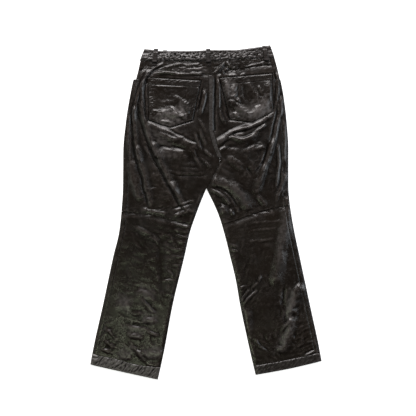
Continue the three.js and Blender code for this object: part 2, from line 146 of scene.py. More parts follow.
# Folds: pieces that a bent line is read in, and the length that each end takes to fade
FOLD_SAMPLES = 24
FOLD_END = 24.0

# Cutting prisms, from bottom to top, and the white floor
CUTTER_HEIGHTS = (-40.0, 60.0)
FLOOR_HALF = 6000.0
FLOOR_DROP = 0.6


def pairs(*values):
    """A short table as two arrays: the places and the values there."""
    return np.array(values, float).T


class Leg:
    """One half of the trousers: side is -1 on the left and 1 on the right. outer and inner give x
    at y. The seams give y at a share of the way from the inner edge to the outer one."""


CENTRE_SEAM = pairs(
    (525, 8), (445, 12), (400, 15.5), (258, 15.5), (241, 20), (209, 29), (183, 38.5), (CROTCH_LEVEL, 45),
)

left = Leg()
left.word = "left"
left.side = -1
left.mouth_step = 8.0
left.outer = pairs(
    (525, -188), (509, -194), (470, -209), (439, -219), (416, -227), (364, -238), (289, -250),
    (195, -259), (83, -260), (0, -265), (-61, -272), (-136, -290), (-286, -322), (-411, -350),
    (-476, -362), (-525, -368),
)
left.inner = pairs(
    (FORK_LEVEL, 1), (39, -14), (-11, -33), (-61, -50), (-136, -67), (-286, -103.5), (-436, -131.5),
    (-525, -151),
)
left.waist_top = pairs((0, 508), (0.3, 505), (0.78, 505.5), (0.9, 509.5), (1, 511))
left.band_seam = pairs((0, 473), (1, 474))
left.yoke_seam = pairs((0, 431), (0.2, 436), (0.5, 443), (1, 451))
left.knee_seam = pairs((0, -37), (0.2, -28), (0.33, -22), (0.5, -12), (0.77, -2), (1, 4))
left.hem_seam = pairs((0, -484), (0.25, -479), (0.48, -469), (0.66, -457), (0.84, -450), (1, -442))
left.hem_edge = pairs((0, -522.75), (0.5, -500), (1, -476))

right = Leg()
right.word = "right"
right.side = 1
right.mouth_step = 2.0
right.outer = pairs(
    (525, 200), (509, 206), (470, 219), (439, 227.5), (402, 236), (364, 243), (289, 252), (195, 258),
    (83, 258), (39, 261), (-11, 268), (-61, 277), (-136, 293), (-286, 325), (-411, 352), (-465, 362),
    (-525, 374),
)
right.inner = pairs(
    (FORK_LEVEL, 1), (62, 7), (39, 19), (-11, 40.5), (-61, 56), (-136, 75), (-211, 93), (-286, 106),
    (-436, 138), (-525, 159),
)
right.waist_top = pairs((0, 508), (0.4, 508), (0.55, 511), (0.77, 516.5), (0.9, 519.5), (1, 522.75))
right.band_seam = pairs((0, 473), (0.2, 476), (1, 484))
right.yoke_seam = pairs((0, 431), (0.12, 435), (0.36, 447), (0.64, 455), (1, 464))
right.knee_seam = pairs((0, -38), (0.235, -23), (0.48, -5), (0.68, 8), (1, 24))
right.hem_seam = pairs((0, -480), (0.5, -461), (1, -438))
right.hem_edge = pairs((0, -508), (0.5, -489), (1, -465))

# The creases, a row for each: a soft ridge, or a trough where rise is negative, along a line that
# leaves (x1, y1) towards (x2, y2) and bends to (x3, y3). near and far are its reach on the left and
# on the right of the way it runs, and sharp goes from 0 for a round crest to 1 for a pinched one.
Fold = namedtuple("Fold", "x1 y1 x2 y2 x3 y3 near far rise sharp")
left.folds = [
    # the outer drape, from the end of the waistband down to the knee: a crease beside a ridge
    (-178, 450, -228, 395, -233, 282, 5, 6, -2.1, 0.8),
    (-232, 322, -239, 240, -217, 150, 5, 6, -2.2, 0.8),
    (-230, 196, -206, 128, -181, 16, 6, 6, -2.2, 0.7),
    (-172, 456, -220, 395, -224, 276, 7, 19, 3.1, 0.4),
    (-224, 340, -232, 240, -207, 146, 17, 7, 3.6, 0.4),
    (-221, 212, -199, 128, -170, 8, 22, 8, 4.0, 0.3),
    (-243, 330, -249, 220, -236, 150, 8, 8, 2.4, 0.4),
    (-238, 168, -229, 110, -206, 34, 19, 19, 3.6, 0.2),
    # beside the pocket
    (-118, 460, -182, 446, -191, 386, 5, 5, -2.6, 0.7),
    (-188, 424, -195, 360, -186, 286, 5, 5, -2.8, 0.7),
    (-124, 466, -190, 452, -202, 384, 5, 7, 2.6, 0.5),
    (-199, 420, -206, 350, -190, 280, 7, 7, 3.2, 0.4),
    # the long drape across the thigh
    (-220, 340, -202, 255, -164, 172, 5, 5, -2.2, 0.8),
    (-180, 208, -146, 125, -104, 54, 5, 6, -2.7, 0.8),
    (-121, 90, -98, 44, -74, 2, 5, 5, -2.1, 0.8),
    (-210, 352, -193, 262, -150, 164, 17, 7, 3.4, 0.3),
    (-170, 224, -138, 130, -90, 50, 26, 7, 4.8, 0.3),
    (-112, 100, -88, 46, -56, -4, 17, 7, 3.8, 0.3),
    (-196, 214, -184, 190, -172, 176, 6, 6, 2.0, 0.5),
    # above and below the pocket
    (-164, 430, -126, 448, -82, 431, 7, 8, 4.0, 0.4),
    (-96, 432, -50, 436, -2, 434, 6, 7, 3.2, 0.5),
    (-130, 446, -104, 468, -70, 462, 5, 7, 3.0, 0.5),
    (-78, 464, -40, 458, -14, 466, 5, 6, 2.4, 0.6),
    (-66, 450, -36, 446, -6, 452, 4, 5, 1.8, 0.7),
    (-190, 296, -112, 258, -22, 214, 7, 7, -2.4, 0.5),
    (-190, 280, -110, 246, -16, 192, 32, 32, 2.8, 0.0),
    (-160, 252, -116, 238, -84, 222, 6, 16, 2.2, 0.5),
    (-164, 212, -112, 206, -48, 196, 12, 12, -1.8, 0.2),
    (-168, 176, -108, 188, -50, 172, 28, 20, 1.8, 0.0),
    (-130, 126, -60, 106, 12, 118, 4, 4, -0.9, 0.8),
    (-130, 134, -60, 114, 12, 126, 5, 5, 0.6, 0.5),
    # between the pocket and the centre seam
    (2, 388, -6, 338, -24, 300, 6, 14, 3.8, 0.4),
    (-8, 400, -14, 350, -32, 312, 4, 5, -2.4, 0.7),
    (-30, 300, -10, 276, 2, 244, 6, 6, 2.2, 0.6),
    (-22, 262, -12, 233, 4, 205, 6, 5, 2.8, 0.7),
    (-36, 252, -27, 217, -9, 186, 6, 5, 3.0, 0.7),
    (-30, 258, -20, 224, -2, 196, 3, 3, -1.8, 0.8),
    (-10, 202, 6, 182, 27, 166, 6, 5, 2.8, 0.7),
    (-22, 180, 0, 150, 20, 137, 6, 5, 2.6, 0.7),
    (-44, 206, -34, 170, -16, 142, 6, 6, 2.0, 0.6),
    # knee
    (-206, 8, -166, 4, -112, -6, 8, 8, 2.2, 0.5),
    (-112, -12, -69, -2, -28, 12, 9, 8, 2.6, 0.5),
    (-112, 12, -70, 22, -34, 32, 6, 6, -2.6, 0.6),
    (-90, 22, -60, 28, -30, 40, 5, 6, 2.2, 0.6),
    # below the knee: short wrinkles from the inner edge, and a slanting one
    (-228, -42, -178, -58, -132, -100, 8, 16, 1.7, 0.2),
    (-186, -74, -160, -82, -146, -104, 5, 5, 1.6, 0.6),
    (-104, -34, -76, -42, -46, -44, 4, 4, 1.8, 0.8),
    (-110, -52, -80, -58, -50, -60, 4, 4, 1.6, 0.8),
    (-104, -70, -78, -76, -54, -78, 4, 4, 1.8, 0.8),
    (-100, -90, -80, -94, -58, -94, 4, 4, 1.6, 0.8),
    (-112, -112, -84, -116, -62, -116, 4, 4, 1.8, 0.8),
    (-104, -134, -84, -140, -66, -140, 4, 4, 1.6, 0.8),
    (-110, -158, -90, -164, -72, -162, 4, 4, 1.6, 0.8),
    (-118, -176, -110, -190, -102, -208, 6, 6, 2.4, 0.5),
    (-142, -216, -118, -212, -90, -208, 5, 5, 2.0, 0.7),
    (-124, -250, -104, -262, -98, -280, 5, 5, 1.8, 0.6),
    # shin and ankle: soft worn swells with dents between them
    (-142, -70, -134, -160, -134, -260, 22, 24, -2.4, 0.0),
    (-250, -150, -258, -230, -270, -320, 20, 20, -1.4, 0.0),
    (-286, -276, -256, -304, -222, -290, 28, 26, 3.0, 0.0),
    (-226, -244, -190, -270, -148, -262, 24, 20, 3.0, 0.0),
    (-206, -262, -184, -294, -148, -326, 9, 16, 3.6, 0.4),
    (-244, -308, -222, -324, -192, -314, 16, 12, 2.6, 0.3),
    (-208, -328, -176, -346, -144, -340, 20, 14, 3.6, 0.3),
    (-270, -344, -214, -352, -164, -356, 12, 12, -1.6, 0.1),
    (-250, -378, -218, -394, -190, -386, 18, 12, 3.0, 0.3),
    (-190, -360, -168, -380, -140, -388, 9, 10, 2.8, 0.4),
    (-226, -426, -172, -454, -124, -440, 28, 22, 3.4, 0.0),
    (-196, -470, -164, -480, -138, -474, 16, 9, 2.8, 0.3),
    (-240, -400, -212, -440, -180, -474, 8, 11, 3.0, 0.5),
    (-280, -438, -252, -458, -226, -452, 20, 12, 3.2, 0.3),
    (-322, -356, -303, -376, -282, -390, 10, 8, 2.6, 0.5),
    (-324, -390, -303, -412, -280, -428, 10, 8, 2.8, 0.5),
    (-334, -422, -312, -434, -286, -438, 10, 8, 2.6, 0.5),
]
right.folds = [
    # under the waistband, beside the centre seam
    (24, 432, 48, 452, 66, 476, 5, 6, 3.4, 0.7),
    (34, 428, 56, 446, 72, 466, 4, 5, -2.6, 0.8),
    (40, 424, 62, 442, 76, 462, 5, 5, 3.0, 0.7),
    (64, 474, 72, 456, 94, 446, 6, 8, 3.4, 0.6),
    (62, 424, 82, 432, 104, 424, 6, 7, 3.0, 0.5),
    (100, 422, 112, 430, 126, 438, 5, 5, 2.6, 0.7),
    (120, 456, 150, 462, 190, 466, 5, 5, 2.0, 0.6),
    # beside the centre seam: a hollow, then the edge of the seat
    (28, 432, 26, 340, 26, 236, 7, 8, -3.4, 0.5),
    (40, 426, 42, 362, 38, 318, 6, 14, 3.6, 0.4),
    (40, 330, 46, 296, 62, 272, 7, 7, 2.8, 0.4),
    (58, 330, 64, 306, 78, 282, 4, 4, -2.2, 0.7),
    # outside of the thigh
    (215, 448, 219, 385, 212, 306, 4, 5, -3.0, 0.8),
    (223, 446, 228, 382, 222, 312, 7, 14, 4.0, 0.4),
    (228, 372, 220, 290, 195, 208, 5, 6, -3.2, 0.8),
    (199, 222, 188, 180, 164, 126, 5, 6, -3.4, 0.8),
    (240, 372, 230, 262, 193, 168, 8, 16, 3.9, 0.3),
    (213, 234, 196, 160, 157, 74, 13, 19, 4.6, 0.2),
    (188, 156, 170, 104, 150, 50, 20, 22, 3.0, 0.1),
    (244, 300, 250, 220, 240, 150, 8, 8, 2.2, 0.3),
    (225, 222, 233, 155, 217, 76, 5, 6, 2.4, 0.8),
    (233, 222, 241, 155, 226, 76, 4, 5, -1.8, 0.7),
    (254, 132, 238, 83, 220, 28, 8, 14, 3.6, 0.5),
    (246, 90, 240, 60, 232, 40, 6, 6, 2.0, 0.5),
    # below the pocket, towards the crotch
    (24, 208, 70, 258, 150, 268, 13, 7, 4.1, 0.4),
    (100, 262, 166, 266, 210, 313, 13, 7, 3.6, 0.4),
    (50, 222, 86, 252, 128, 256, 4, 5, -2.6, 0.7),
    (30, 204, 66, 242, 90, 238, 7, 8, 3.6, 0.5),
    (74, 244, 110, 212, 166, 256, 8, 16, 4.2, 0.3),
    (152, 247, 172, 261, 190, 282, 7, 6, 4.2, 0.5),
    (84, 252, 92, 244, 92, 232, 4, 5, -2.2, 0.7),
    (32, 186, 48, 200, 66, 208, 6, 6, 3.0, 0.6),
    (60, 210, 112, 188, 184, 236, 13, 13, -1.4, 0.2),
    (150, 196, 170, 206, 186, 204, 8, 8, 2.6, 0.4),
    (60, 176, 96, 160, 120, 128, 16, 19, 3.1, 0.3),
    (120, 150, 140, 132, 146, 108, 8, 8, -2.4, 0.3),
    (196, 200, 176, 150, 150, 120, 7, 7, -1.8, 0.4),
    # inside of the thigh and knee
    (8, 92, 98, 102, 138, 0, 30, 24, 4.8, 0.05),
    (10, 74, 48, 62, 80, 20, 7, 8, 3.8, 0.6),
    (18, 84, 70, 76, 104, 12, 6, 6, -2.8, 0.5),
    (44, 26, 56, 14, 62, -8, 14, 14, 3.8, 0.4),
    (70, 12, 82, 0, 88, -12, 7, 7, 2.8, 0.5),
    (150, 60, 176, 40, 190, 14, 14, 14, 2.7, 0.3),
    # shin and calf
    (262, 56, 242, -60, 214, -234, 32, 28, 4.8, 0.1),
    (124, -60, 170, -56, 232, -48, 5, 5, 1.1, 0.7),
    (132, -34, 184, -28, 240, -26, 5, 5, 1.1, 0.7),
    (126, -90, 170, -86, 226, -80, 5, 5, 1.0, 0.7),
    (70, -96, 84, -104, 100, -104, 5, 5, 2.0, 0.7),
    (74, -112, 88, -120, 102, -122, 5, 5, 2.0, 0.7),
    (306, -218, 262, -266, 266, -330, 25, 19, 6.3, 0.2),
    (268, -316, 262, -392, 230, -444, 25, 17, 5.8, 0.2),
    (272, -330, 250, -352, 232, -372, 6, 7, 3.0, 0.5),
    (250, -226, 236, -262, 240, -300, 12, 12, -2.8, 0.2),
    (172, -190, 172, -220, 136, -243, 6, 6, 3.2, 0.6),
    (140, -236, 119, -255, 110, -286, 6, 6, 3.2, 0.6),
    (164, -240, 136, -262, 116, -290, 5, 5, 2.8, 0.6),
    (98, -240, 110, -234, 124, -228, 5, 5, 2.4, 0.6),
    (124, -286, 134, -340, 130, -388, 22, 22, 3.4, 0.2),
    (152, -386, 158, -420, 200, -436, 6, 6, 2.8, 0.6),
    (300, -452, 325, -438, 352, -425, 6, 6, 3.2, 0.5),
    (312, -406, 328, -402, 344, -400, 5, 5, 2.0, 0.6),
    (228, -462, 232, -476, 232, -488, 5, 5, 2.2, 0.6),
]

# Crumpled places: an ellipse round (x, y) in which the leather is crushed into crests `wave` apart
# and `stretch` times as long, which run at `turn` degrees
Crush = namedtuple("Crush", "x y radius_x radius_y turn wave stretch rise")
left.crushes = [
    (-170, 440, 44, 30, 60, 9, 2.2, 0.8),
    (-50, 452, 80, 24, 0, 9, 2.2, 1.2),
    (-120, 454, 60, 18, 0, 9, 2.2, 1.0),
    (-110, 215, 90, 60, -24, 20, 2.0, 1.3),
    (-40, 150, 60, 60, -20, 16, 2.4, 1.0),
    (-150, 80, 110, 80, -10, 20, 2.2, 1.0),
    (-150, 80, 110, 80, 20, 10, 2.6, 0.35),
    (-130, 4, 150, 22, -8, 12, 1.8, 1.3),
    (-84, -90, 60, 90, -6, 10, 2.8, 1.0),
    (-160, -110, 110, 100, -30, 24, 2.0, 1.1),
    (-210, -120, 90, 100, -10, 12, 2.4, 0.5),
    (-200, -250, 90, 70, -35, 24, 1.6, 1.2),
    (-210, -340, 110, 60, -20, 22, 1.5, 1.3),
    (-200, -420, 120, 60, -25, 20, 1.5, 1.5),
    (-200, -380, 130, 110, 30, 8, 1.8, 0.45),
    (-300, -400, 40, 70, 40, 12, 2.0, 1.6),
]
right.crushes = [
    (60, 455, 60, 26, 30, 9, 1.8, 1.2),
    (150, 464, 80, 20, 8, 9, 2.2, 1.2),
    (218, 400, 20, 80, 80, 12, 2.4, 0.8),
    (110, 226, 90, 50, 20, 18, 2.2, 1.1),
    (180, 170, 70, 80, 60, 18, 2.0, 1.1),
    (90, 120, 80, 90, -40, 20, 2.2, 1.2),
    (100, 150, 90, 90, 10, 9, 2.2, 0.3),
    (230, 80, 40, 100, 75, 13, 2.8, 1.0),
    (60, 10, 50, 50, -40, 13, 1.8, 1.4),
    (160, 6, 130, 22, 12, 12, 1.8, 1.1),
    (160, -70, 110, 70, 4, 12, 3.2, 0.7),
    (110, -150, 60, 90, 60, 18, 2.0, 1.0),
    (230, -160, 80, 110, 70, 14, 2.2, 0.6),
    (140, -260, 60, 60, 50, 14, 2.0, 1.2),
    (270, -340, 70, 100, 65, 16, 1.8, 1.4),
    (180, -420, 90, 60, -30, 16, 1.8, 1.2),
    (310, -420, 60, 60, 20, 13, 1.8, 1.4),
    (200, -300, 130, 180, 30, 7, 1.8, 0.3),
]

# Rubbed places: an ellipse round (x, y), turned by `turn` degrees, where the leather is painted paler
# by up to `amount`, partly as rubbed wear and partly as painted sheen standing for broad highlights
SheenRub = namedtuple("SheenRub", "x y radius_x radius_y turn amount")
left.rubs = [
    (-112, 300, 46, 20, 14, 1.0),
    (-84, 312, 18, 28, -20, 0.95),
    (-150, 232, 44, 16, -32, 0.4),
    (-128, 184, 40, 14, -10, 0.35),
    (-60, 446, 60, 12, 0, 0.3),
    (-256, -280, 20, 28, 20, 0.4),
    (-187, -248, 24, 18, -30, 0.35),
    (-175, -327, 24, 26, 30, 0.35),
    (-219, -370, 28, 18, -20, 0.35),
    (-169, -439, 32, 24, 10, 0.4),
    (-250, -439, 28, 20, 30, 0.4),
]
right.rubs = [
    (170, 322, 28, 38, -40, 0.85),
    (76, 388, 18, 28, 20, 0.75),
    (112, 316, 34, 14, 20, 0.6),
    (112, 252, 70, 9, 20, 0.3),
    (240, -70, 12, 80, -10, 0.35),
    (262, -300, 12, 60, -8, 0.5),
    (246, -390, 12, 50, -30, 0.4),
    (100, 60, 34, 12, -50, 0.3),
]

# The back pockets: corners, then folds and crumpled places of their own
Pocket = namedtuple("Pocket", "top_outer top_inner low_inner tip low_outer folds crushes")
left.pocket = Pocket(
    (-181, 420), (-17, 411), (-42.5, 289), (-111, 267), (-177.5, 289),
    [
        (-168, 292, -128, 324, -84, 296, 30, 18, 3.8, 0.05),
        (-122, 332, -98, 328, -78, 286, 12, 20, 3.0, 0.2),
        (-104, 300, -84, 304, -56, 296, 14, 7, 3.4, 0.4),
        (-150, 284, -124, 288, -104, 276, 6, 6, 3.4, 0.5),
        (-172, 318, -146, 318, -124, 310, 5, 6, 1.8, 0.6),
        (-146, 338, -116, 348, -78, 342, 12, 14, 1.2, 0.1),
        (-110, 366, -76, 356, -44, 322, 10, 18, 1.6, 0.2),
        (-64, 330, -56, 318, -52, 300, 6, 6, 1.8, 0.5),
        (-166, 396, -110, 392, -50, 392, 5, 5, 1.2, 0.6),
    ],
    [
        (-110, 310, 76, 40, 10, 24, 1.4, 1.6),
        (-110, 366, 84, 50, 0, 22, 1.6, 0.9),
        (-170, 355, 16, 70, 0, 6, 1.4, 1.0),
        (-60, 340, 30, 60, 60, 16, 1.8, 0.8),
    ],
)
right.pocket = Pocket(
    (206, 433), (44, 419), (76, 291), (144, 283), (207.5, 316),
    [
        (198, 420, 206, 336, 142, 296, 22, 26, 3.4, 0.05),
        (52, 416, 76, 392, 62, 350, 14, 14, 3.0, 0.2),
        (84, 408, 92, 370, 76, 328, 14, 16, 2.6, 0.2),
        (96, 398, 104, 374, 96, 352, 5, 5, -2.0, 0.6),
        (84, 366, 96, 350, 110, 346, 8, 8, 2.6, 0.5),
        (80, 352, 108, 318, 150, 298, 18, 20, 3.2, 0.1),
        (86, 314, 96, 304, 104, 292, 7, 7, 3.0, 0.4),
        (132, 418, 138, 376, 176, 350, 12, 22, 2.4, 0.1),
        (160, 400, 172, 384, 178, 362, 7, 7, 2.2, 0.5),
        (120, 404, 118, 370, 128, 344, 9, 9, -2.6, 0.3),
        (150, 330, 160, 340, 176, 340, 7, 7, -2.0, 0.4),
    ],
    [
        (120, 310, 64, 30, 10, 20, 1.5, 1.4),
        (90, 370, 46, 50, 60, 18, 1.6, 1.5),
        (170, 350, 44, 60, 70, 20, 1.6, 1.1),
        (196, 400, 16, 36, 0, 6, 1.6, 0.6),
    ],
)

# Back loops from top to bottom, and front loops with their middle, bottom and top
BACK_LOOPS = [
    ("belt_loop_back_left", (-155.6, 511), (-162, 459)),
    ("belt_loop_back_centre", (7, 511), (7.5, 459)),
    ("belt_loop_back_right", (182, 520), (190, 464)),
]
FRONT_LOOPS = [("belt_loop_front_left", -128, 476, 508), ("belt_loop_front_right", 190, 488, 520)]


# Small mathematics

def mix(a, b, t):
    return a + (b - a) * t


def smooth(t):
    t = np.clip(t, 0, 1)
    return t * t * (3 - 2 * t)


def read(table, at):
    """A smooth value from a table, without overshoot."""
    keys, values = table
    if keys[0] > keys[-1]:
        keys, values = keys[::-1], values[::-1]
    slope = np.diff(values) / np.diff(keys)
    tangent = np.empty_like(values)
    tangent[0], tangent[-1] = slope[0], slope[-1]
    product = slope[:-1] * slope[1:]
    total = slope[:-1] + slope[1:]
    tangent[1:-1] = np.where(product > 0, 2 * product / np.where(total == 0, 1, total), 0)
    at = np.clip(at, keys[0], keys[-1])
    i = np.clip(np.searchsorted(keys, at, side="right") - 1, 0, len(keys) - 2)
    span = keys[i + 1] - keys[i]
    t = (at - keys[i]) / span
    t2, t3 = t * t, t * t * t
    return (
        (2 * t3 - 3 * t2 + 1) * values[i] + (t3 - 2 * t2 + t) * span * tangent[i]
        + (3 * t2 - 2 * t3) * values[i + 1] + (t3 - t2) * span * tangent[i + 1]
    )


def noise(x, y, seed):
    """Smooth noise with a wavelength of about 1, from about -1 to 1."""
    size = 64
    turns = np.random.default_rng(seed).uniform(0, 2 * math.pi, (size, size))
    xi, yi = np.floor(x).astype(int), np.floor(y).astype(int)
    xf, yf = x - xi, y - yi
    u = xf ** 3 * (xf * (xf * 6 - 15) + 10)
    v = yf ** 3 * (yf * (yf * 6 - 15) + 10)

    def corner(i, j):
        turn = turns[(xi + i) % size, (yi + j) % size]
        return np.cos(turn) * (xf - i) + np.sin(turn) * (yf - j)

    low = mix(corner(0, 0), corner(1, 0), u)
    high = mix(corner(0, 1), corner(1, 1), u)
    return 1.5 * mix(low, high, v)


def fold_height(row, x, y):
    """Height that one fold adds at each place."""
    fold = Fold(*row)
    t = np.linspace(0, 1, FOLD_SAMPLES + 1)
    cx = (1 - t) ** 2 * fold.x1 + 2 * t * (1 - t) * fold.x2 + t ** 2 * fold.x3
    cy = (1 - t) ** 2 * fold.y1 + 2 * t * (1 - t) * fold.y2 + t ** 2 * fold.y3
    reach = max(fold.near, fold.far)
    close = (x > cx.min() - reach) & (x < cx.max() + reach)
    close = close & (y > cy.min() - reach) & (y < cy.max() + reach)
    height = np.zeros_like(x)
    px, py = x[close], y[close]
    if not px.size:
        return height
    best = np.full(px.shape, np.inf)
    side = np.ones(px.shape)
    along = np.zeros(px.shape)
    for i in range(FOLD_SAMPLES):
        dx, dy = cx[i + 1] - cx[i], cy[i + 1] - cy[i]
        share = np.clip(((px - cx[i]) * dx + (py - cy[i]) * dy) / (dx * dx + dy * dy), 0, 1)
        ox, oy = px - cx[i] - share * dx, py - cy[i] - share * dy
        distance = np.hypot(ox, oy)
        nearer = distance < best
        best = np.where(nearer, distance, best)
        side = np.where(nearer, np.sign(dx * oy - dy * ox), side)
        along = np.where(nearer, (i + share) / FOLD_SAMPLES, along)
    across = np.clip(best / np.where(side > 0, fold.near, fold.far), 0, 1)
    soft = 0.5 + 0.5 * np.cos(math.pi * across)
    pinched = (1 - across) ** 1.25
    length = np.hypot(np.diff(cx), np.diff(cy)).sum()
    end = min(FOLD_END / length, 0.4)
    fade = smooth(along / end) * smooth((1 - along) / end)
    height[close] = fold.rise * mix(soft, pinched, fold.sharp) * fade
    return height


def turned(place, x, y):
    """Distances from the middle of a turned place, along it and across it."""
    turn = math.radians(place.turn)
    dx, dy = x - place.x, y - place.y
    return dx * math.cos(turn) + dy * math.sin(turn), dy * math.cos(turn) - dx * math.sin(turn)


def crests(x, y, seed):
    """Sharp crests about 1 apart with round dents between them."""
    return 1 - 2.4 * np.sqrt(noise(x, y, seed) ** 2 + 0.012)


def crush_height(row, x, y, seed):
    """Crests and dents of one crumpled place."""
    crush = Crush(*row)
    along, across = turned(crush, x, y)
    away = np.hypot((x - crush.x) / crush.radius_x, (y - crush.y) / crush.radius_y)
    bend = 0.5 * noise(x / (3 * crush.wave), y / (3 * crush.wave), seed + 50)
    u, v = along / (crush.wave * crush.stretch) + bend, across / crush.wave + bend
    fine = crests(2.1 * u + 7, 2.1 * v, seed + 1)
    return crush.rise * smooth(1.25 - 0.95 * away) * (0.62 * crests(u, v, seed) + 0.24 * fine)


def rubbed_sheen(leg, x, y):
    """How far the leather is painted paler at each place, from 0 to 1: rubbed wear, and painted sheen in
    place of broad highlights.
    """
    amount = np.zeros_like(x)
    ragged = 1 + 0.35 * noise(x / 14, y / 14, 51) + 0.25 * noise(x / 6, y / 6, 52)
    for rub in map(SheenRub._make, leg.rubs):
        along, across = turned(rub, x, y)
        away = np.hypot(along / rub.radius_x, across / rub.radius_y)
        amount = np.maximum(amount, rub.amount * smooth(1.5 * ragged - away))
    return amount


def inner_edge(leg, y):
    fork_x, crotch_x = leg.inner[1, 0], CENTRE_SEAM[1, -1]
    across = mix(fork_x, crotch_x, (y - FORK_LEVEL) / (CROTCH_LEVEL - FORK_LEVEL))
    below_crotch = np.where(y < FORK_LEVEL, read(leg.inner, y), across)
    return np.where(y >= CROTCH_LEVEL, read(CENTRE_SEAM, y), below_crotch)


def outer_edge(leg, y):
    return read(leg.outer, y)


def hip_edge(leg, y):
    share = np.clip((MOUTH_TOP - y) / (MOUTH_TOP - MOUTH_BOTTOM), 0, 1)
    return outer_edge(leg, y) - leg.side * leg.mouth_step * share


def side_seam(leg, y):
    return outer_edge(leg, y) - leg.side * SIDE_SEAM_INSET


def pocket_corners(pocket):
    return list(pocket[:5])


def inside_pocket(leg, x, y):
    """How far each place lies inside the pocket's outline, negative outside."""
    corners = pocket_corners(leg.pocket)
    inside = np.full(np.shape(x), np.inf)
    for (x1, y1), (x2, y2) in zip(corners, corners[1:] + corners[:1]):
        length = math.hypot(x2 - x1, y2 - y1)
        inside = np.minimum(inside, leg.side * ((x2 - x1) * (y - y1) - (y2 - y1) * (x - x1)) / length)
    return inside


def pucker(along, away, wave, rise, reach, seed):
    """Little waves that sewing gathers along a seam, fading away from it."""
    ripple = noise(along / wave, 0.35 * away / wave + 3.5, seed)
    return rise * ripple * np.exp(-np.abs(away) / reach)


def groove(away, depth, reach):
    """The leather turns down into a seam."""
    return -depth * (1 - smooth(np.abs(away) / reach))


def lapped(away, depth, reach, slope):
    """The piece on the positive side laps over the other one: it ends in a short round edge, and
    the other one comes up to it on a gentle slope."""
    over = groove(away, depth * 0.5, reach)
    below = -depth * (1 - smooth(-away / slope))
    return np.where(away > 0, over, below)


def share_across(leg, x, y):
    inner = inner_edge(leg, y)
    return (x - inner) / (outer_edge(leg, y) - inner)


def edge_drop(leg, x, y, height):
    """Brings the back down to the front at the inseam. The right leg also goes down at the crotch,
    where the left one lies over it."""
    start = FORK_LEVEL + 8 - y if leg.side < 0 else CROTCH_LEVEL + 6 - y
    opened = smooth(start / (30 if leg.side < 0 else 20))
    drop = 1 - np.sqrt(np.clip(np.abs(x - inner_edge(leg, y)) / EDGE_SLOPE, 0, 1))
    return mix(height, mix(height, 2 * LEATHER + 2 * SEAM, drop), opened)


def back_relief(leg, x, y):
    """Unevenness, folds and crushed places of the back, in mm above the plain leather."""
    relief = 0.7 * noise(x / 52, y / 52, 11) + 0.35 * noise(x / 19, y / 19, 12)
    bent_x = x + 2.6 * noise(x / 36, y / 36, 13) + 0.5 * noise(x / 13, y / 13, 15)
    bent_y = y + 2.6 * noise(x / 36, y / 36, 14) + 0.5 * noise(x / 13, y / 13, 16)
    for fold in leg.folds:
        relief = relief + fold_height(fold, bent_x, bent_y)
    for i, crush in enumerate(leg.crushes):
        relief = relief + crush_height(crush, x, y, 100 + 10 * i + leg.side)
    return relief


def back_height(leg, x, y):
    """Outside of the back above the surface."""
    from_centre = np.abs(x - inner_edge(leg, y))
    beyond_side = leg.side * (x - side_seam(leg, y))
    share = share_across(leg, x, y)
    beside_pocket = -inside_pocket(leg, x, y)
    clear_of_centre = np.where(y > CROTCH_LEVEL - 10, smooth((from_centre - 5.5) / 5), 1)
    relief = back_relief(leg, x, y) * smooth(beside_pocket / 5) * clear_of_centre
    from_knee = y - read(leg.knee_seam, share)
    from_yoke = y - read(leg.yoke_seam, share)
    from_band = y - read(leg.band_seam, share)
    relief = relief + pucker(x, from_knee, 9, 0.6, 7, 21) + pucker(x, from_yoke, 8, 0.8, 6, 22)
    relief = relief + pucker(x, from_band, 8, 1.0, 7, 23)
    relief = relief + pucker(y, np.abs(beyond_side), 10, 0.2, 6, 24)
    relief = relief + lapped(from_knee, 1.9, 2.2, 15) + lapped(from_yoke, 1.4, 2.2, 12)
    relief = relief + lapped(-beyond_side, 1.0, 2.0, 9)
    # beyond the side seam the front falls away to the outer edge
    relief = relief - EDGE_FALL * smooth(beyond_side / SIDE_SEAM_INSET)
    # soft rims of a worn pocket press into the panel
    relief = relief + pucker(x + y, beside_pocket, 9, 0.6, 6, 25) * (beside_pocket > 0)
    relief = relief - 1.9 * np.exp(-(((beside_pocket - 1.5) / 2.6) ** 2))
    return edge_drop(leg, x, y, np.maximum(LAID_HEIGHT + relief, LAID_HEIGHT - 3.1))


def band_height(leg, x, y):
    """Top of the waistband, crushed along its lower half."""
    share = share_across(leg, x, y)
    low = y - read(leg.band_seam, share)
    top = read(leg.waist_top, share) - y
    ripple = pucker(x, low - 8, 8, 1.9, 12, 31) + pucker(x, top, 14, 0.7, 8, 32)
    strength = 1.8 if leg.side < 0 else 1.1
    crest = crests((x + 0.5 * y) / 13, (y - 0.15 * x) / 6, 33)
    crumple = strength * crest * smooth(1 - (low - 16) / 14) + 0.4 * noise(x / 7, y / 5, 34)
    near_loop = np.full(np.shape(x), 1.0)
    for _, (loop_x, _), _ in BACK_LOOPS:
        near_loop = np.minimum(near_loop, smooth((np.abs(x - loop_x) - 9) / 9))
    bulge = strength * smooth(low / 6) * smooth(1 - (low - 6) / 20)
    relief = (ripple + crumple) * (0.25 + 0.75 * near_loop) + bulge
    return BAND_TOP + np.minimum(relief, 4.2) + groove(top, 1.2, 2.6) + groove(low, 0.6, 2.0)


def hem_height(leg, x, y):
    """Top of the turned hem. The left one is puckered all along."""
    share = share_across(leg, x, y)
    seam = read(leg.hem_seam, share) - y
    edge = y - read(leg.hem_edge, share)
    strength = 2.6 if leg.side < 0 else 0.7
    slant = x - 0.9 * y
    ripple = strength * noise(slant / 6.0, (x + y) / 24, 41) + 0.4 * noise(x / 30, y / 30, 42)
    height = LAID_HEIGHT + 0.8 + ripple * smooth(edge / 7)
    height = height + groove(seam, 1.2, 2.8) + groove(edge, 1.0, 3)
    return edge_drop(leg, x, y, height)


# Grids of points

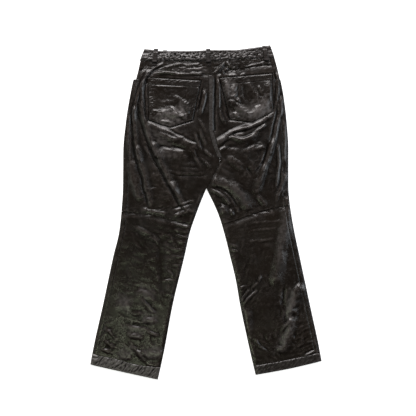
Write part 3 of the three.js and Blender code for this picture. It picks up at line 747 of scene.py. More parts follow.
def stations(length, step, ends=(True, True)):
    """Shares from 0 to 1 along a length: steps of about `step`, closer together at the seams."""
    near = [e / length for e in EDGE_STEPS] if ends[0] else [0.0]
    far = [1 - e / length for e in reversed(EDGE_STEPS)] if ends[1] else [1.0]
    count = max(2, round((far[0] - near[-1]) * length / step))
    return np.concatenate([near, np.linspace(near[-1], far[0], count + 1)[1:-1], far])


def level_rows(levels, length_of, step):
    """Rows between seams and straight levels, each as (upper, lower, share of the way down)."""
    out = []
    last = len(levels) - 2
    for block, (upper, lower) in enumerate(zip(levels, levels[1:])):
        length = length_of(upper, lower)
        for t in stations(length, step, (block == 0, block == last))[0 if block == 0 else 1:]:
            out.append((upper, lower, t))
    return out


def level_at(level, share):
    """Level y of a seam or of a straight line at each share of the way across."""
    if isinstance(level, np.ndarray):
        return read(level, share)
    return np.full(np.shape(share), float(level))


def row_level(row, share, first, last):
    """Level y of one row at each share, drawn back from the neighbouring pieces at both ends."""
    upper, lower, t = row
    y = mix(level_at(upper, share), level_at(lower, share), t)
    return y - SEAM / 2 if row is first else y + SEAM / 2 if row is last else y


def block_length(upper, lower):
    middle = np.array([0.5])
    return float(abs(level_at(upper, middle) - level_at(lower, middle))[0])


def side_share(leg, edge, y):
    inner = inner_edge(leg, y)
    return (side_seam(leg, y) - inner) / (edge(leg, y) - inner)


def layers(x, y, top, under):
    """Outside and inside points of a wall between two heights."""
    return np.stack([x, y, top], -1), np.stack([x, y, under], -1)


def back_row(leg, row, edge, shares, ends):
    """Places across one half of the back, from the inner edge to the side seam."""
    y_side = row_level(row, np.array([1.0]), *ends)
    reach = side_share(leg, edge, y_side)[0]
    y = row_level(row, shares * reach, *ends)
    x_in = inner_edge(leg, y) + leg.side * SEAM / 2
    if leg.side < 0:
        # between the crotch and the fork the left leg lies over the right one
        x_in = x_in + FORK_LAP * smooth((CROTCH_LEVEL - 3 - y) / 8) * smooth((y - FORK_LEVEL) / 10)
    x_out = side_seam(leg, y) - leg.side * SEAM / 2
    return mix(x_in, x_out, shares), y


def back_panel(leg, levels, step=PANEL_STEP):
    """Outside and inside points of a back panel."""
    level = level_rows(levels, block_length, step)
    shares = stations(BACK_WIDTH, step)
    places = [back_row(leg, row, outer_edge, shares, (level[0], level[-1])) for row in level]
    x, y = np.array(places).transpose(1, 0, 2)
    z = back_height(leg, x, y)
    return layers(x, y, z, z - LEATHER)


def floor_height(x, y, floor):
    """The front lies on the surface, with shallow dents where it doesn't quite touch."""
    dents = 0.5 * noise(x / 34, y / 34, 61) + 0.35 * noise(x / 13, y / 17, 62)
    return floor + np.clip(dents - 0.12, 0, 0.7)


def seam_shift(leg, y, shares):
    """On the front the knee and hem seams lie a little higher than on the back, so that no light
    comes through both."""
    shift = 0
    for seam in (leg.knee_seam, leg.hem_seam):
        shift = shift + FRONT_SHIFT * np.exp(-(((y - read(seam, shares)) / 12) ** 2))
    return shift * (1 - shares ** 4)


def wrapped(leg, levels, step, edge, all_round, wall, floor, top_at):
    """Outside and inside points of a piece that rolls round the outer edge."""
    level = level_rows(levels, block_length, step)
    ends = (level[0], level[-1])
    outside, inside = [], []
    angle = np.linspace(0, math.pi, ROLL_CELLS + 1)
    onwards = np.linspace(0, 1, TOP_CELLS + 1)[1:]
    for row in level:
        # on the surface, from the inner edge outwards
        shares = np.linspace(0, 1, FLOOR_CELLS + 1)[:-1]
        y = row_level(row, shares, *ends)
        y = y + seam_shift(leg, y, shares)
        turn_x = edge(leg, y) - leg.side * ROLL_RADIUS
        x = mix(inner_edge(leg, y) + leg.side * SEAM / 2, turn_x, shares)
        bottom = floor_height(x, y, floor)
        parts = [layers(x, y, bottom, bottom + wall)]

        # round the outer edge
        roll_y = row_level(row, np.array([1.0]), *ends)
        turn_x = (edge(leg, roll_y) - leg.side * ROLL_RADIUS)[0]
        top = top_at(leg, np.array([turn_x]), roll_y)[0]
        middle, half = (floor + top) / 2, (top - floor) / 2
        same_y = np.full(angle.shape, roll_y[0])
        parts.append([
            np.stack([
                turn_x + leg.side * (ROLL_RADIUS - less) * np.sin(angle), same_y,
                middle - (half - less) * np.cos(angle),
            ], -1)
            for less in (0, wall)
        ])

        # back over the top, to the side seam or to the inner edge
        if all_round:
            x, y = back_row(leg, row, edge, stations(BACK_WIDTH, step)[::-1], ends)
        else:
            reach = side_share(leg, edge, roll_y)[0]
            y = row_level(row, mix(1, reach, onwards), *ends)
            rolled, seam = edge(leg, y) - leg.side * ROLL_RADIUS, side_seam(leg, y) + leg.side * SEAM / 2
            x = mix(rolled, seam, onwards)
        z = top_at(leg, x, y)
        parts.append(layers(x, y, z, z - wall))
        outside.append(np.concatenate([out for out, _ in parts]))
        inside.append(np.concatenate([inn for _, inn in parts]))
    return np.array(outside), np.array(inside)


def front_panel(leg, levels, edge=outer_edge):
    """Outside and inside points of a front, from the inner edge round to the side seam."""
    return wrapped(leg, levels, FRONT_STEP, edge, False, LEATHER, 0.0, back_height)


# Meshes

def placed(name, data):
    """A new object in the scene."""
    obj = bpy.data.objects.new(name, data)
    bpy.context.scene.collection.objects.link(obj)
    return obj


def make_object(name, points, faces, flat_from=None, marks=None):
    """A mesh object from points in mm. Faces from `flat_from` on are the cut edges, shaded flat."""
    mesh = bpy.data.meshes.new(name)
    faces = np.asarray(faces, np.int32)
    corners = faces.shape[1]
    mesh.vertices.add(len(points))
    mesh.vertices.foreach_set("co", (np.asarray(points, np.float64) * MM).astype(np.float32).ravel())
    mesh.loops.add(faces.size)
    mesh.loops.foreach_set("vertex_index", faces.ravel())
    mesh.polygons.add(len(faces))
    mesh.polygons.foreach_set("loop_start", np.arange(0, faces.size, corners, dtype=np.int32))
    mesh.polygons.foreach_set("loop_total", np.full(len(faces), corners, np.int32))
    rounded = np.full(len(faces), True)
    if flat_from is not None:
        rounded[flat_from:] = False
    mesh.polygons.foreach_set("use_smooth", rounded)
    mesh.update(calc_edges=True)
    mesh.validate()
    for mark, values in (marks or {}).items():
        layer = mesh.attributes.new(mark, "FLOAT", "POINT")
        layer.data.foreach_set("value", values.astype(np.float32).ravel())
    return placed(name, mesh)


def add_prism(points, faces, outline, bottom, top):
    """Adds an upright prism over an outline to lists of points and faces."""
    start, count = len(points), len(outline)
    points.extend((x, y, z) for z in (bottom, top) for x, y in outline)
    for i in range(count):
        j = (i + 1) % count
        faces.append((start + i, start + j, start + count + j, start + count + i))
    faces.append(tuple(range(start, start + count))[::-1])
    faces.append(tuple(range(start + count, start + 2 * count)))


def plain_mesh(name, points, faces, material=None):
    """A mesh object from points in mm and faces of any number of corners."""
    mesh = bpy.data.meshes.new(name)
    mesh.from_pydata([(x * MM, y * MM, z * MM) for x, y, z in points], [], faces)
    if material:
        mesh.materials.append(material)
    return placed(name, mesh)


def blur(values, reach):
    """Mean over a square of 2 reach + 1 points each way."""
    for axis in (0, 1):
        first, last = (np.repeat(np.take(values, [at], axis), reach, axis) for at in (0, -1))
        padded = np.concatenate([first, values, last], axis)
        count = values.shape[axis]
        total = sum(np.take(padded, range(i, i + count), axis) for i in range(2 * reach + 1))
        values = total / (2 * reach + 1)
    return values


def shell(name, outside, inside, rub=0.0):
    """A closed wall between two grids of points with the same rows and columns. The last argument is how
    far the outside is painted pale, everywhere or at each point, as rubbed wear and painted sheen."""
    count_rows, count_columns = outside.shape[:2]
    index = np.arange(count_rows * count_columns).reshape(count_rows, count_columns)
    under = index + index.size

    def quads(a, b, c, d):
        return np.stack([a.ravel(), b.ravel(), c.ravel(), d.ravel()], -1)

    skins = [
        quads(index[:-1, :-1], index[:-1, 1:], index[1:, 1:], index[1:, :-1]),
        quads(under[:-1, :-1], under[1:, :-1], under[1:, 1:], under[:-1, 1:]),
    ]
    rims = [
        quads(index[0, 1:], index[0, :-1], under[0, :-1], under[0, 1:]),
        quads(index[-1, :-1], index[-1, 1:], under[-1, 1:], under[-1, :-1]),
        quads(index[:-1, 0], index[1:, 0], under[1:, 0], under[:-1, 0]),
        quads(index[1:, -1], index[:-1, -1], under[:-1, -1], under[1:, -1]),
    ]
    faces = np.concatenate(skins + rims)
    points = np.concatenate([outside.reshape(-1, 3), inside.reshape(-1, 3)])
    a, b, c, d = (points[faces[:, i]] for i in range(4))
    if (a * (np.cross(b, c) + np.cross(c, d))).sum() < 0:
        faces = faces[:, ::-1]
    # marks for the material: crests, for wear and painted highlight
    rise = outside[..., 2] - blur(outside[..., 2], 3)
    seen = {
        "crest_wear_and_highlight": np.clip(rise / 0.5, 0, 1),
        "rub": np.broadcast_to(rub, rise.shape),
        # troughs get a mark for painted shade in the creases
        "crease": np.clip(-rise / 0.8 - 0.2, 0, 1),
    }
    marks = {mark: np.concatenate([value.ravel(), np.zeros(rise.size)]) for mark, value in seen.items()}
    return make_object(name, points, faces, flat_from=sum(len(s) for s in skins), marks=marks)


def cut_by(obj, outline, keep_inside):
    """Cuts a piece with an upright prism over an outline, or keeps what lies inside it."""
    turns = [a[0] * b[1] - b[0] * a[1] for a, b in zip(outline, outline[1:] + outline[:1])]
    if sum(turns) < 0:
        outline = outline[::-1]
    points, faces = [], []
    add_prism(points, faces, outline, *CUTTER_HEIGHTS)
    cutter = plain_mesh("cutter", points, faces)
    modifier = obj.modifiers.new("cut", "BOOLEAN")
    modifier.operation = "INTERSECT" if keep_inside else "DIFFERENCE"
    modifier.solver = "EXACT"
    modifier.object = cutter
    depsgraph = bpy.context.evaluated_depsgraph_get()
    result = bpy.data.meshes.new_from_object(obj.evaluated_get(depsgraph))
    obj.modifiers.clear()
    obj.data = result
    mesh = cutter.data
    bpy.data.objects.remove(cutter)
    bpy.data.meshes.remove(mesh)


def polygon_area(outline):
    x, y = np.array(outline).T
    return abs(float(np.sum(x * np.roll(y, -1) - y * np.roll(x, -1)))) / 2


def name_piece(obj, node):
    """Attaches a piece to the root body, made if missing, and hides the node that it replaces."""
    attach(obj, "root")
    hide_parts(node)


def finish_leather(obj, flat, area=None, trim=False):
    """Gives a leather piece its finish, attaches it to the root body and hides the node that it
    replaces, which it is called after. Its flat cut and area are worked out in metres but not kept.
    """
    obj.data.materials.clear()
    obj.data.materials.append(trim_leather if trim else leather)
    name_piece(obj, obj.name.removesuffix("_leather"))
    flat = (flat[0] * MM, flat[1] * MM)
    area = None if area is None else min(area * MM * MM, flat[0] * flat[1])


# Materials

def node(tree, kind, inputs, **values):
    """A shader node. Its inputs take numbers, colours or other nodes' outputs."""
    made = tree.nodes.new(kind)
    for name, value in values.items():
        setattr(made, name, value)
    for key, value in inputs.items():
        if isinstance(value, bpy.types.NodeSocket):
            tree.links.new(value, made.inputs[key])
        else:
            made.inputs[key].default_value = (*value, 1) if isinstance(value, tuple) else value
    return made


def start_material(name):
    """A material without nodes, its node tree and the place on the object."""
    material = bpy.data.materials.new(name)
    material.use_nodes = True
    tree = material.node_tree
    tree.nodes.clear()
    return material, tree, node(tree, "ShaderNodeTexCoord", {}).outputs["Object"]


def shade(tree, inputs):
    shader = node(tree, "ShaderNodeBsdfPrincipled", inputs)
    node(tree, "ShaderNodeOutputMaterial", {"Surface": shader.outputs["BSDF"]})


def leather_material(name, dark, mid, worn_and_sheen, rub_and_sheen_colour, roughness, grain_size):
    """Polished garment leather: uneven dye, painted highlight on worn crests, painted sheen in rubbed
    patches, painted shade in creases, pores and fine wrinkles.
    """
    material, tree, place = start_material(name)

    def texture(scale, detail, rough=0.55):
        inputs = {"Vector": place, "Scale": scale, "Detail": detail, "Roughness": rough}
        return node(tree, "ShaderNodeTexNoise", inputs).outputs["Fac"]

    def ramp(value, low, high, start, stop):
        inputs = {"Value": value, "To Min": low, "To Max": high, "From Min": start, "From Max": stop}
        return node(tree, "ShaderNodeMapRange", inputs).outputs["Result"]

    def blend(factor, a, b):
        made = node(tree, "ShaderNodeMix", {"Factor": factor, "A": a, "B": b}, data_type="RGBA")
        return made.outputs["Result"]

    def combine(operation, a, b):
        return node(tree, "ShaderNodeMath", {0: a, 1: b}, operation=operation).outputs["Value"]

    def mark(attribute):
        return node(tree, "ShaderNodeAttribute", {}, attribute_name=attribute).outputs["Fac"]

    # dye: patchy over a hand's width
    colour = blend(ramp(texture(7.0, 3.0), 0, 1, 0.35, 0.68), dark, mid)
    # painted highlight: crests are painted paler, partly as wear and partly as the highlight they catch
    crest_wear_and_highlight = mark("crest_wear_and_highlight")
    scuffs_and_highlights = combine("MULTIPLY", crest_wear_and_highlight, ramp(texture(90.0, 5.0, 0.65), 0.1, 1, 0.38, 0.62))
    colour = blend(scuffs_and_highlights, colour, worn_and_sheen)
    # painted sheen: rubbed patches are painted paler, partly as wear and partly as broad highlights
    rub_and_sheen_patches = combine("MULTIPLY", mark("rub"), ramp(texture(110.0, 4.0, 0.6), 0.3, 1, 0.36, 0.6))
    colour = blend(rub_and_sheen_patches, colour, rub_and_sheen_colour)
    # veins: a fine web of paler lines in places
    line = combine("ABSOLUTE", combine("SUBTRACT", texture(34.0, 5.0, 0.6), 0.5), 0)
    web = combine("MULTIPLY", ramp(line, 0.5, 0, 0.0, 0.02), ramp(texture(11.0, 2.0), 0, 1, 0.45, 0.62))
    colour = blend(web, colour, tuple(c * 0.8 for c in worn_and_sheen))
    # painted shade: creases are darkened and their specular turned down
    crease = mark("crease")
    colour = blend(crease, colour, tuple(c * 0.6 for c in dark))

    # gloss: worn crests shine, patches are duller
    gloss = ramp(texture(24.0, 4.0), roughness - 0.05, roughness + 0.08, 0.3, 0.7)
    gloss = combine("SUBTRACT", gloss, combine("MULTIPLY", crest_wear_and_highlight, 0.06))

    # grain: pebbled cells and fine wrinkles over broad unevenness
    jitter = node(tree, "ShaderNodeTexNoise", {"Vector": place, "Scale": 260.0}).outputs["Color"]
    shift = node(tree, "ShaderNodeVectorMath", {0: jitter, "Scale": 0.0012}, operation="SCALE")
    warp = node(tree, "ShaderNodeVectorMath", {0: place, 1: shift.outputs["Vector"]}, operation="ADD")
    inputs = {"Vector": warp.outputs["Vector"], "Scale": 1 / grain_size}
    cells = node(tree, "ShaderNodeTexVoronoi", inputs, feature="DISTANCE_TO_EDGE")
    pebbles = combine("MULTIPLY", ramp(cells.outputs["Distance"], 0, 1, 0.0, 0.22), 0.45)
    grain = combine("ADD", pebbles, combine("MULTIPLY", texture(150.0, 6.0, 0.7), 1.4))
    inputs = {"Height": texture(55.0, 4.0, 0.6), "Strength": 0.6, "Distance": 0.0006}
    broad = node(tree, "ShaderNodeBump", inputs).outputs["Normal"]
    inputs = {"Height": grain, "Strength": 0.5, "Distance": 0.00026, "Normal": broad}
    shade(tree, {
        "Base Color": colour, "Specular IOR Level": ramp(crease, 0.5, 0.22, 0, 1), "Roughness": gloss,
        "Normal": node(tree, "ShaderNodeBump", inputs).outputs["Normal"],
    })
    return material


def plain_material(name, colour, roughness, metallic, scale, depth):
    """A finish with a fine uneven surface, for thread, tape and metal."""
    material, tree, place = start_material(name)
    inputs = {"Vector": place, "Scale": scale, "Detail": 4}
    fleck = node(tree, "ShaderNodeTexNoise", inputs).outputs["Fac"]
    tones = {"Factor": fleck, "A": tuple(c * 0.7 for c in colour), "B": tuple(c * 1.3 for c in colour)}
    bump = node(tree, "ShaderNodeBump", {"Height": fleck, "Distance": depth})
    shade(tree, {
        "Base Color": node(tree, "ShaderNodeMix", tones, data_type="RGBA").outputs["Result"],
        "Normal": bump.outputs["Normal"], "Roughness": roughness, "Metallic": metallic,
    })
    return material


# The paler colours of worn crests and rubbed patches also stand for painted highlight and sheen; the
# trim's are paler still
leather = leather_material(
    "polished_leather", dark=(0.0052, 0.0034, 0.0022), mid=(0.0118, 0.0084, 0.0058),
    worn_and_sheen=(0.046, 0.038, 0.034), rub_and_sheen_colour=(0.105, 0.094, 0.09), roughness=0.25, grain_size=0.0016)
trim_leather = leather_material(
    "trim_leather", dark=(0.006, 0.0042, 0.003), mid=(0.0135, 0.0104, 0.0082),
    worn_and_sheen=(0.085, 0.075, 0.074), rub_and_sheen_colour=(0.1, 0.093, 0.088), roughness=0.26, grain_size=0.0014)
thread = plain_material(
    "thread", (0.0065, 0.0055, 0.005), roughness=0.7, metallic=0.0, scale=900.0, depth=0.0002)
tape = plain_material(
    "zip_tape", (0.01, 0.01, 0.01), roughness=0.85, metallic=0.0, scale=1400.0, depth=0.0003)
metal = plain_material(
    "dark_nickel", (0.24, 0.23, 0.22), roughness=0.32, metallic=1.0, scale=240.0, depth=0.0001)


# Legs, yokes, waistband, hems

def mouth_outline(leg, back):
    """The curved mouth of a front pocket and everything beyond it, at the hip."""
    edge = float(outer_edge(leg, np.array([MOUTH_BOTTOM]))[0])
    width, depth = MOUTH_WIDTH - back, MOUTH_TOP - MOUTH_BOTTOM - back
    arc = [
        (edge - leg.side * width * math.cos(angle), MOUTH_TOP - depth * math.sin(angle))
        for angle in np.linspace(0, math.pi / 2, 25)
    ]
    far_x, far_y = edge + leg.side * 40, MOUTH_TOP + 40
    return arc + [(far_x, MOUTH_BOTTOM + back), (far_x, far_y), (arc[0][0], far_y)]


def fly_outline(grow):
    """The fly flap, rounded at its lower outer corner, and on past the centre and the waist."""
    centre_x = float(inner_edge(left, np.array([FLY_BOTTOM]))[0])
    outer_x = centre_x - FLY_WIDTH - grow
    low = FLY_BOTTOM - grow
    arc = [
        (outer_x + FLY_WIDTH * (1 - math.cos(a)), low + FLY_WIDTH * (1 - math.sin(a)))
        for a in np.linspace(0, math.pi / 2, 17)
    ]
    past_x = centre_x + FLY_SIDE
    return arc + [(past_x, low), (past_x, ABOVE_WAIST), (outer_x, ABOVE_WAIST)]


def panel_cut(leg, upper, lower, full_width):
    """Width, length and area of a panel's flat cut. full_width counts the part rolled over the edge."""
    share = np.linspace(0, 1, 21)
    top, bottom = level_at(upper, share), level_at(lower, share)
    length = float(top.max() - bottom.min())
    levels = np.linspace(bottom.mean(), top.mean(), 31)
    width = np.abs(outer_edge(leg, levels) - inner_edge(leg, levels))
    width = width + (SIDE_SEAM_INSET if full_width else -SIDE_SEAM_INSET)
    area = float(width.mean() * abs(top.mean() - bottom.mean()))
    return (float(width.max()) + CREASE_TAKE, length), area


def build_leg(leg):
    word = leg.word
    upper_levels = [leg.yoke_seam, CROTCH_LEVEL, FORK_LEVEL, leg.knee_seam]
    for name, levels, step, under in (
        ("yoke", [leg.band_seam, leg.yoke_seam], FINE_STEP, "upper"),
        ("back_upper", upper_levels, PANEL_STEP, "upper"),
        ("back_lower", [leg.knee_seam, leg.hem_seam], PANEL_STEP, "lower"),
    ):
        outside, inside = back_panel(leg, levels, step)
        paler_rub_and_sheen = rubbed_sheen(leg, outside[..., 0], outside[..., 1])
        panel = shell(f"{name}_{word}_leather", outside, inside, paler_rub_and_sheen)
        flat, area = panel_cut(leg, levels[0], levels[-1], False)
        finish_leather(panel, flat, area)

    levels = [leg.band_seam] + upper_levels
    upper = shell(f"front_upper_{word}_leather", *front_panel(leg, levels))
    cut_by(upper, mouth_outline(leg, 0), False)
    if leg is left:
        cut_by(upper, fly_outline(SEAM), False)
    flat, area = panel_cut(leg, leg.band_seam, leg.knee_seam, True)
    finish_leather(upper, flat, area * FRONT_SHARE)

    facing = shell(f"pocket_facing_{word}_leather", *front_panel(leg, levels, hip_edge))
    cut_by(facing, mouth_outline(leg, SEAM), True)
    width = MOUTH_WIDTH + SIDE_SEAM_INSET
    area = width * (BAND_LEVEL - MOUTH_BOTTOM) * FACING_SHARE
    finish_leather(facing, (width, FACING_LENGTH), area)

    lower = shell(f"front_lower_{word}_leather", *front_panel(leg, [leg.knee_seam, leg.hem_seam]))
    flat, area = panel_cut(leg, leg.knee_seam, leg.hem_seam, True)
    finish_leather(lower, flat, area)

    levels = [leg.hem_seam, leg.hem_edge]
    grid = wrapped(leg, levels, FINE_STEP, outer_edge, True, HEM_WALL, 0.0, hem_height)
    # the hem is painted paler, most on the left leg, as rubbed wear and painted sheen on its puckers
    hem = shell(f"hem_{word}_leather", *grid, 0.8 if leg is left else 0.1)
    finish_leather(hem, HEM_CUT, trim=True)

    levels = [leg.waist_top, leg.band_seam]
    grid = wrapped(leg, levels, FINE_STEP, outer_edge, True, BAND_WALL, BAND_FLOOR, band_height)
    band = shell(f"waistband_{word}_leather", *grid)
    finish_leather(band, BAND_CUT, trim=True)


# Pockets, strip and loops

def pocket_place(leg, across, down):
    """A place on the pocket: across from the outer to the inner side, down from the top."""
    p = leg.pocket
    first = across <= 0.5
    t = np.where(first, 2 * across, 2 * across - 1)
    place = []
    for i in (0, 1):
        low = np.where(first, mix(p.low_outer[i], p.tip[i], t), mix(p.tip[i], p.low_inner[i], t))
        place.append(mix(mix(p.top_outer[i], p.top_inner[i], across), low, down))
    return place


def pocket_height(leg, x, y):
    """Outside of the patch pocket."""
    inside = inside_pocket(leg, x, y)
    p = leg.pocket
    slope = (p.top_inner[1] - p.top_outer[1]) / (p.top_inner[0] - p.top_outer[0])
    from_top = p.top_outer[1] + slope * (x - p.top_outer[0]) - y
    relief = 0.3 * noise(x / 40, y / 40, 71) + 0.15 * noise(x / 15, y / 15, 72)
    for fold in p.folds:
        relief = relief + fold_height(fold, x, y)
    for i, crush in enumerate(p.crushes):
        relief = relief + crush_height(crush, x, y, 300 + 10 * i + leg.side)
    relief = np.maximum(relief, -1.0) * smooth((inside - 1) / 6)
    relief = relief + pucker(y - 0.6 * x, inside - 4, 6.5, 0.9, 5, 73) * smooth(inside / 3)
    hem = 0.8 * smooth((POCKET_HEM - from_top) / 1.6)
    hem = hem + groove(from_top - POCKET_HEM, 0.5, 2.5)
    return PATCH_TOP + relief + hem + groove(inside, 0.5, 1.6)


def build_pocket(leg):
    across, down = (stations(size, FINE_STEP) for size in POCKET_SIZE)
    x, y = pocket_place(leg, *np.meshgrid(across, down))
    z = pocket_height(leg, x, y)
    pocket = shell(f"back_pocket_{leg.word}_leather", *layers(x, y, z, z - LEATHER), rubbed_sheen(leg, x, y))
    area = polygon_area(pocket_corners(leg.pocket))
    finish_leather(pocket, POCKET_CUT, area)


def strip_height(x, y):
    """Top of the strip along its middle."""
    return PATCH_TOP + 0.45 * noise(x / 9, y / 7, 81) + 0.5 * noise(x / 40, y / 30, 82)


def build_strip():
    """The lapped strip on the centre back seam."""
    y = np.linspace(STRIP_TOP, STRIP_BOTTOM, 150)[:, None]
    across = np.linspace(-1, 1, 13)[None, :]
    x = inner_edge(left, y) + across * STRIP_WIDTH / 2
    y = np.broadcast_to(y, x.shape)
    z = strip_height(x, y) - 0.9 * np.abs(across) ** 4
    # the strip is painted paler all over, as rubbed wear and painted sheen
    strip = shell("centre_back_strip_leather", *layers(x, y, z, z - LEATHER), 0.34)
    flat = (STRIP_WIDTH, STRIP_TOP - STRIP_BOTTOM + 4)
    finish_leather(strip, flat, trim=True)


def loop_rise(at, length):
    """Underside of a back loop along its length: two ends on the garment, a bridge between them."""
    band, low, bridge = BAND_TOP + SEAM, LAID_HEIGHT + SEAM + 0.4, BAND_TOP + LOOP_CLEARANCE
    up = smooth((at - 7) / 4.5)
    down = smooth((at - (length - 13)) / 5.5)
    return mix(mix(band, bridge, up), low, down)


def build_loop(name, top, bottom):
    length = top[1] - bottom[1]
    at = np.linspace(0, length, 40)[:, None]
    across = np.array([-1, -0.94, -0.8, -0.5, 0, 0.5, 0.8, 0.94, 1.0])[None, :]
    x = mix(top[0], bottom[0], at / length) + across * LOOP_WIDTH / 2
    y = np.broadcast_to(top[1] - at, x.shape)
    under = np.broadcast_to(loop_rise(at, length), x.shape)
    z = under + LOOP_WALL - 0.5 * np.abs(across) ** 6 + 0.12 * noise(x / 6, y / 6, 91)
    loop = shell(f"{name}_leather", *layers(x, y, z, under))
    finish_leather(loop, (LOOP_WIDTH, length + 8), trim=True)


def build_front_loop(name, middle, low, high):
    across, y = np.meshgrid(np.array([-1, -0.9, -0.6, 0, 0.6, 0.9, 1.0]), np.linspace(high, low, 16))
    x = middle + across * LOOP_WIDTH / 2
    loop = shell(f"{name}_leather", *layers(x, y, 0.25 * np.abs(across) ** 6, np.full(x.shape, LEATHER)))
    finish_leather(loop, (LOOP_WIDTH, high - low), trim=True)


def build_fly():
    levels = [left.band_seam, left.yoke_seam, CROTCH_LEVEL, FORK_LEVEL, left.knee_seam]
    flap = shell("fly_flap_leather", *front_panel(left, levels))
    outline = fly_outline(0)
    cut_by(flap, outline, True)
    length = BAND_LEVEL - FLY_BOTTOM
    area = polygon_area([(x, min(y, BAND_LEVEL)) for x, y in outline]) - FLY_SIDE * length
    finish_leather(flap, (FLY_WIDTH, length), area)


def zip_part(name, outlines, height, material):
    points, faces = [], []
    for outline in outlines:
        add_prism(points, faces, outline, ZIP_FLOOR, ZIP_FLOOR + height)
    part = plain_mesh(name, points, faces, material)
    name_piece(part, "fly_zip")
    return part


def zip_tooth(side, y):
    """Outline of one tooth, from its root on the tape to its nose."""
    root, neck, nose = (ZIP_CENTRE + side * reach for reach in (TOOTH_ROOT, TOOTH_NECK, TOOTH_NOSE))
    half, narrow = TOOTH_WIDTH / 2, TOOTH_WIDTH / 3
    upper = [(nose, y + narrow), (neck, y + narrow), (root, y + half)]
    lower = [(root, y - half), (neck, y - narrow), (nose, y - narrow)]
    return (lower + upper)[::-side]


def build_zip():
    """A closed metal zip: tapes, two rows of teeth and the slider."""
    tapes, teeth = [], []
    for side in (-1, 1):
        edges = (ZIP_CENTRE + side * ZIP_HALF_WIDTH, ZIP_CENTRE + side * (ZIP_HALF_WIDTH - TAPE_WIDTH))
        low, high = sorted(edges)
        tapes.append([(low, ZIP_BOTTOM), (high, ZIP_BOTTOM), (high, ZIP_TOP), (low, ZIP_TOP)])
        y = TEETH_BOTTOM + (TOOTH_PITCH / 2 if side > 0 else 0)
        while y < TEETH_TOP:
            teeth.append(zip_tooth(side, y))
            y += TOOTH_PITCH
    tape_piece = zip_part("fly_zip_tape", tapes, TAPE_WALL, tape)
    zip_part("fly_zip_teeth", teeth, TOOTH_HEIGHT, metal)

    x, top = ZIP_CENTRE, ZIP_TOP - 1
    body = [(x - 2.6, top - 11), (x + 2.6, top - 11), (x + 4.4, top - 6), (x + 4.4, top), (x + 1.2, top),
            (x, top - 3), (x - 1.2, top), (x - 4.4, top), (x - 4.4, top - 6)]
    zip_part("fly_zip_slider", [body], SLIDER_HEIGHT, metal)


def build_button():
    """A plain domed button with a turned rim, face down."""
    centre_x = float(inner_edge(left, np.array([BUTTON_LEVEL]))[0]) - BUTTON_FROM_CENTRE
    around = [2 * math.pi * i / BUTTON_STEPS for i in range(BUTTON_STEPS)]
    points = [
        (centre_x + radius * math.cos(a), BUTTON_LEVEL + radius * math.sin(a), z)
        for radius, z in BUTTON_RINGS for a in around
    ]
    last = (len(BUTTON_RINGS) - 1) * BUTTON_STEPS
    walls = []
    for start in range(0, last, BUTTON_STEPS):
        for i in range(BUTTON_STEPS):
            j = (i + 1) % BUTTON_STEPS
            walls.append((start + i, start + BUTTON_STEPS + i, start + BUTTON_STEPS + j, start + j))
    caps = [tuple(range(BUTTON_STEPS)), tuple(last + i for i in reversed(range(BUTTON_STEPS)))]
    button = plain_mesh("waist_button_metal", points, walls + caps, metal)
    button.data.polygons.foreach_set("use_smooth", [True] * len(walls) + [False] * len(caps))
    name_piece(button, "waist_button")


# Sewing


def close_ends(obj):
    """Closes the ends of the stitches."""
    bm = bmesh.new()
    bm.from_mesh(obj.data)
    bmesh.ops.holes_fill(bm, edges=bm.edges, sides=8)
    bmesh.ops.recalc_face_normals(bm, faces=bm.faces)
    bm.to_mesh(obj.data)
    bm.free()


def sew(name, paths):
    """One mesh of stitches. paths is a list of (places, function that gives the height there)."""
    # each stitch is a short tube through four rings: place along it, girth and height
    rings = ((-0.5, 0.35, -0.3), (-0.36, 0.9, -0.06), (0.36, 0.9, -0.06), (0.5, 0.35, -0.3))
    angle = np.arange(THREAD_SIDES) * 2 * math.pi / THREAD_SIDES
    points, faces, start = [], [], 0
    for path, height in paths:
        route = np.asarray(path, float)
        run = np.concatenate([[0], np.cumsum(np.hypot(*np.diff(route, axis=0).T))])
        count = int(run[-1] / STITCH)
        at = (np.arange(count) + 0.5) * run[-1] / max(count, 1)
        (x, y), ahead, behind = (
            [np.interp(where, run, route[:, i]) for i in (0, 1)] for where in (at, at + 0.8, at - 0.8))
        dx, dy = ahead[0] - behind[0], ahead[1] - behind[1]
        size = np.maximum(np.hypot(dx, dy), 1e-6)
        dx, dy = dx / size, dy / size
        for share, girth, lift in rings:
            along = share * (STITCH - STITCH_GAP)
            px, py = x + dx * along, y + dy * along
            pz = height(px, py) + lift
            for a in angle:
                side, up = THREAD * girth * math.cos(a), THREAD * girth * math.sin(a)
                points.append(np.stack([px - dy * side, py + dx * side, pz + up], -1))
        base = start + np.arange(count)[:, None]
        for r in range(len(rings) - 1):
            for s in range(THREAD_SIDES):
                t = (s + 1) % THREAD_SIDES
                low, high = r * THREAD_SIDES, (r + 1) * THREAD_SIDES
                corners = (low + s, low + t, high + t, high + s)
                faces.append(np.concatenate([base + corner * count for corner in corners], 1))
        start += len(rings) * THREAD_SIDES * count
    obj = make_object(name, np.concatenate(points), np.concatenate(faces))
    close_ends(obj)
    obj.data.materials.append(thread)
    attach(obj, "root")


def seam_path(leg, seam, offset, low=0.015, high=0.93, count=60):
    """Places beside a cross seam, `offset` above it, from the inner edge to the side seam."""
    share = np.linspace(low, high, count)
    y = read(seam, share) + offset
    x = mix(inner_edge(leg, y), outer_edge(leg, y), share)
    return np.stack([x, y], -1)


def inset_pocket(leg, inset):
    """The pocket's corners, with its outline drawn in by an equal margin."""
    corners = [np.array(c, float) for c in pocket_corners(leg.pocket)]
    centre = sum(corners) / 5
    lines = []
    for a, b in zip(corners, corners[1:] + corners[:1]):
        d = (b - a) / np.linalg.norm(b - a)
        n = np.array([-d[1], d[0]])
        if np.dot(centre - a, n) < 0:
            n = -n
        lines.append((a + n * inset, d))
    out = []
    for (p, d), (q, e) in zip([lines[-1]] + lines[:-1], lines):
        t = np.linalg.solve(np.array([d, -e]).T, q - p)[0]
        out.append(p + d * t)
    return out


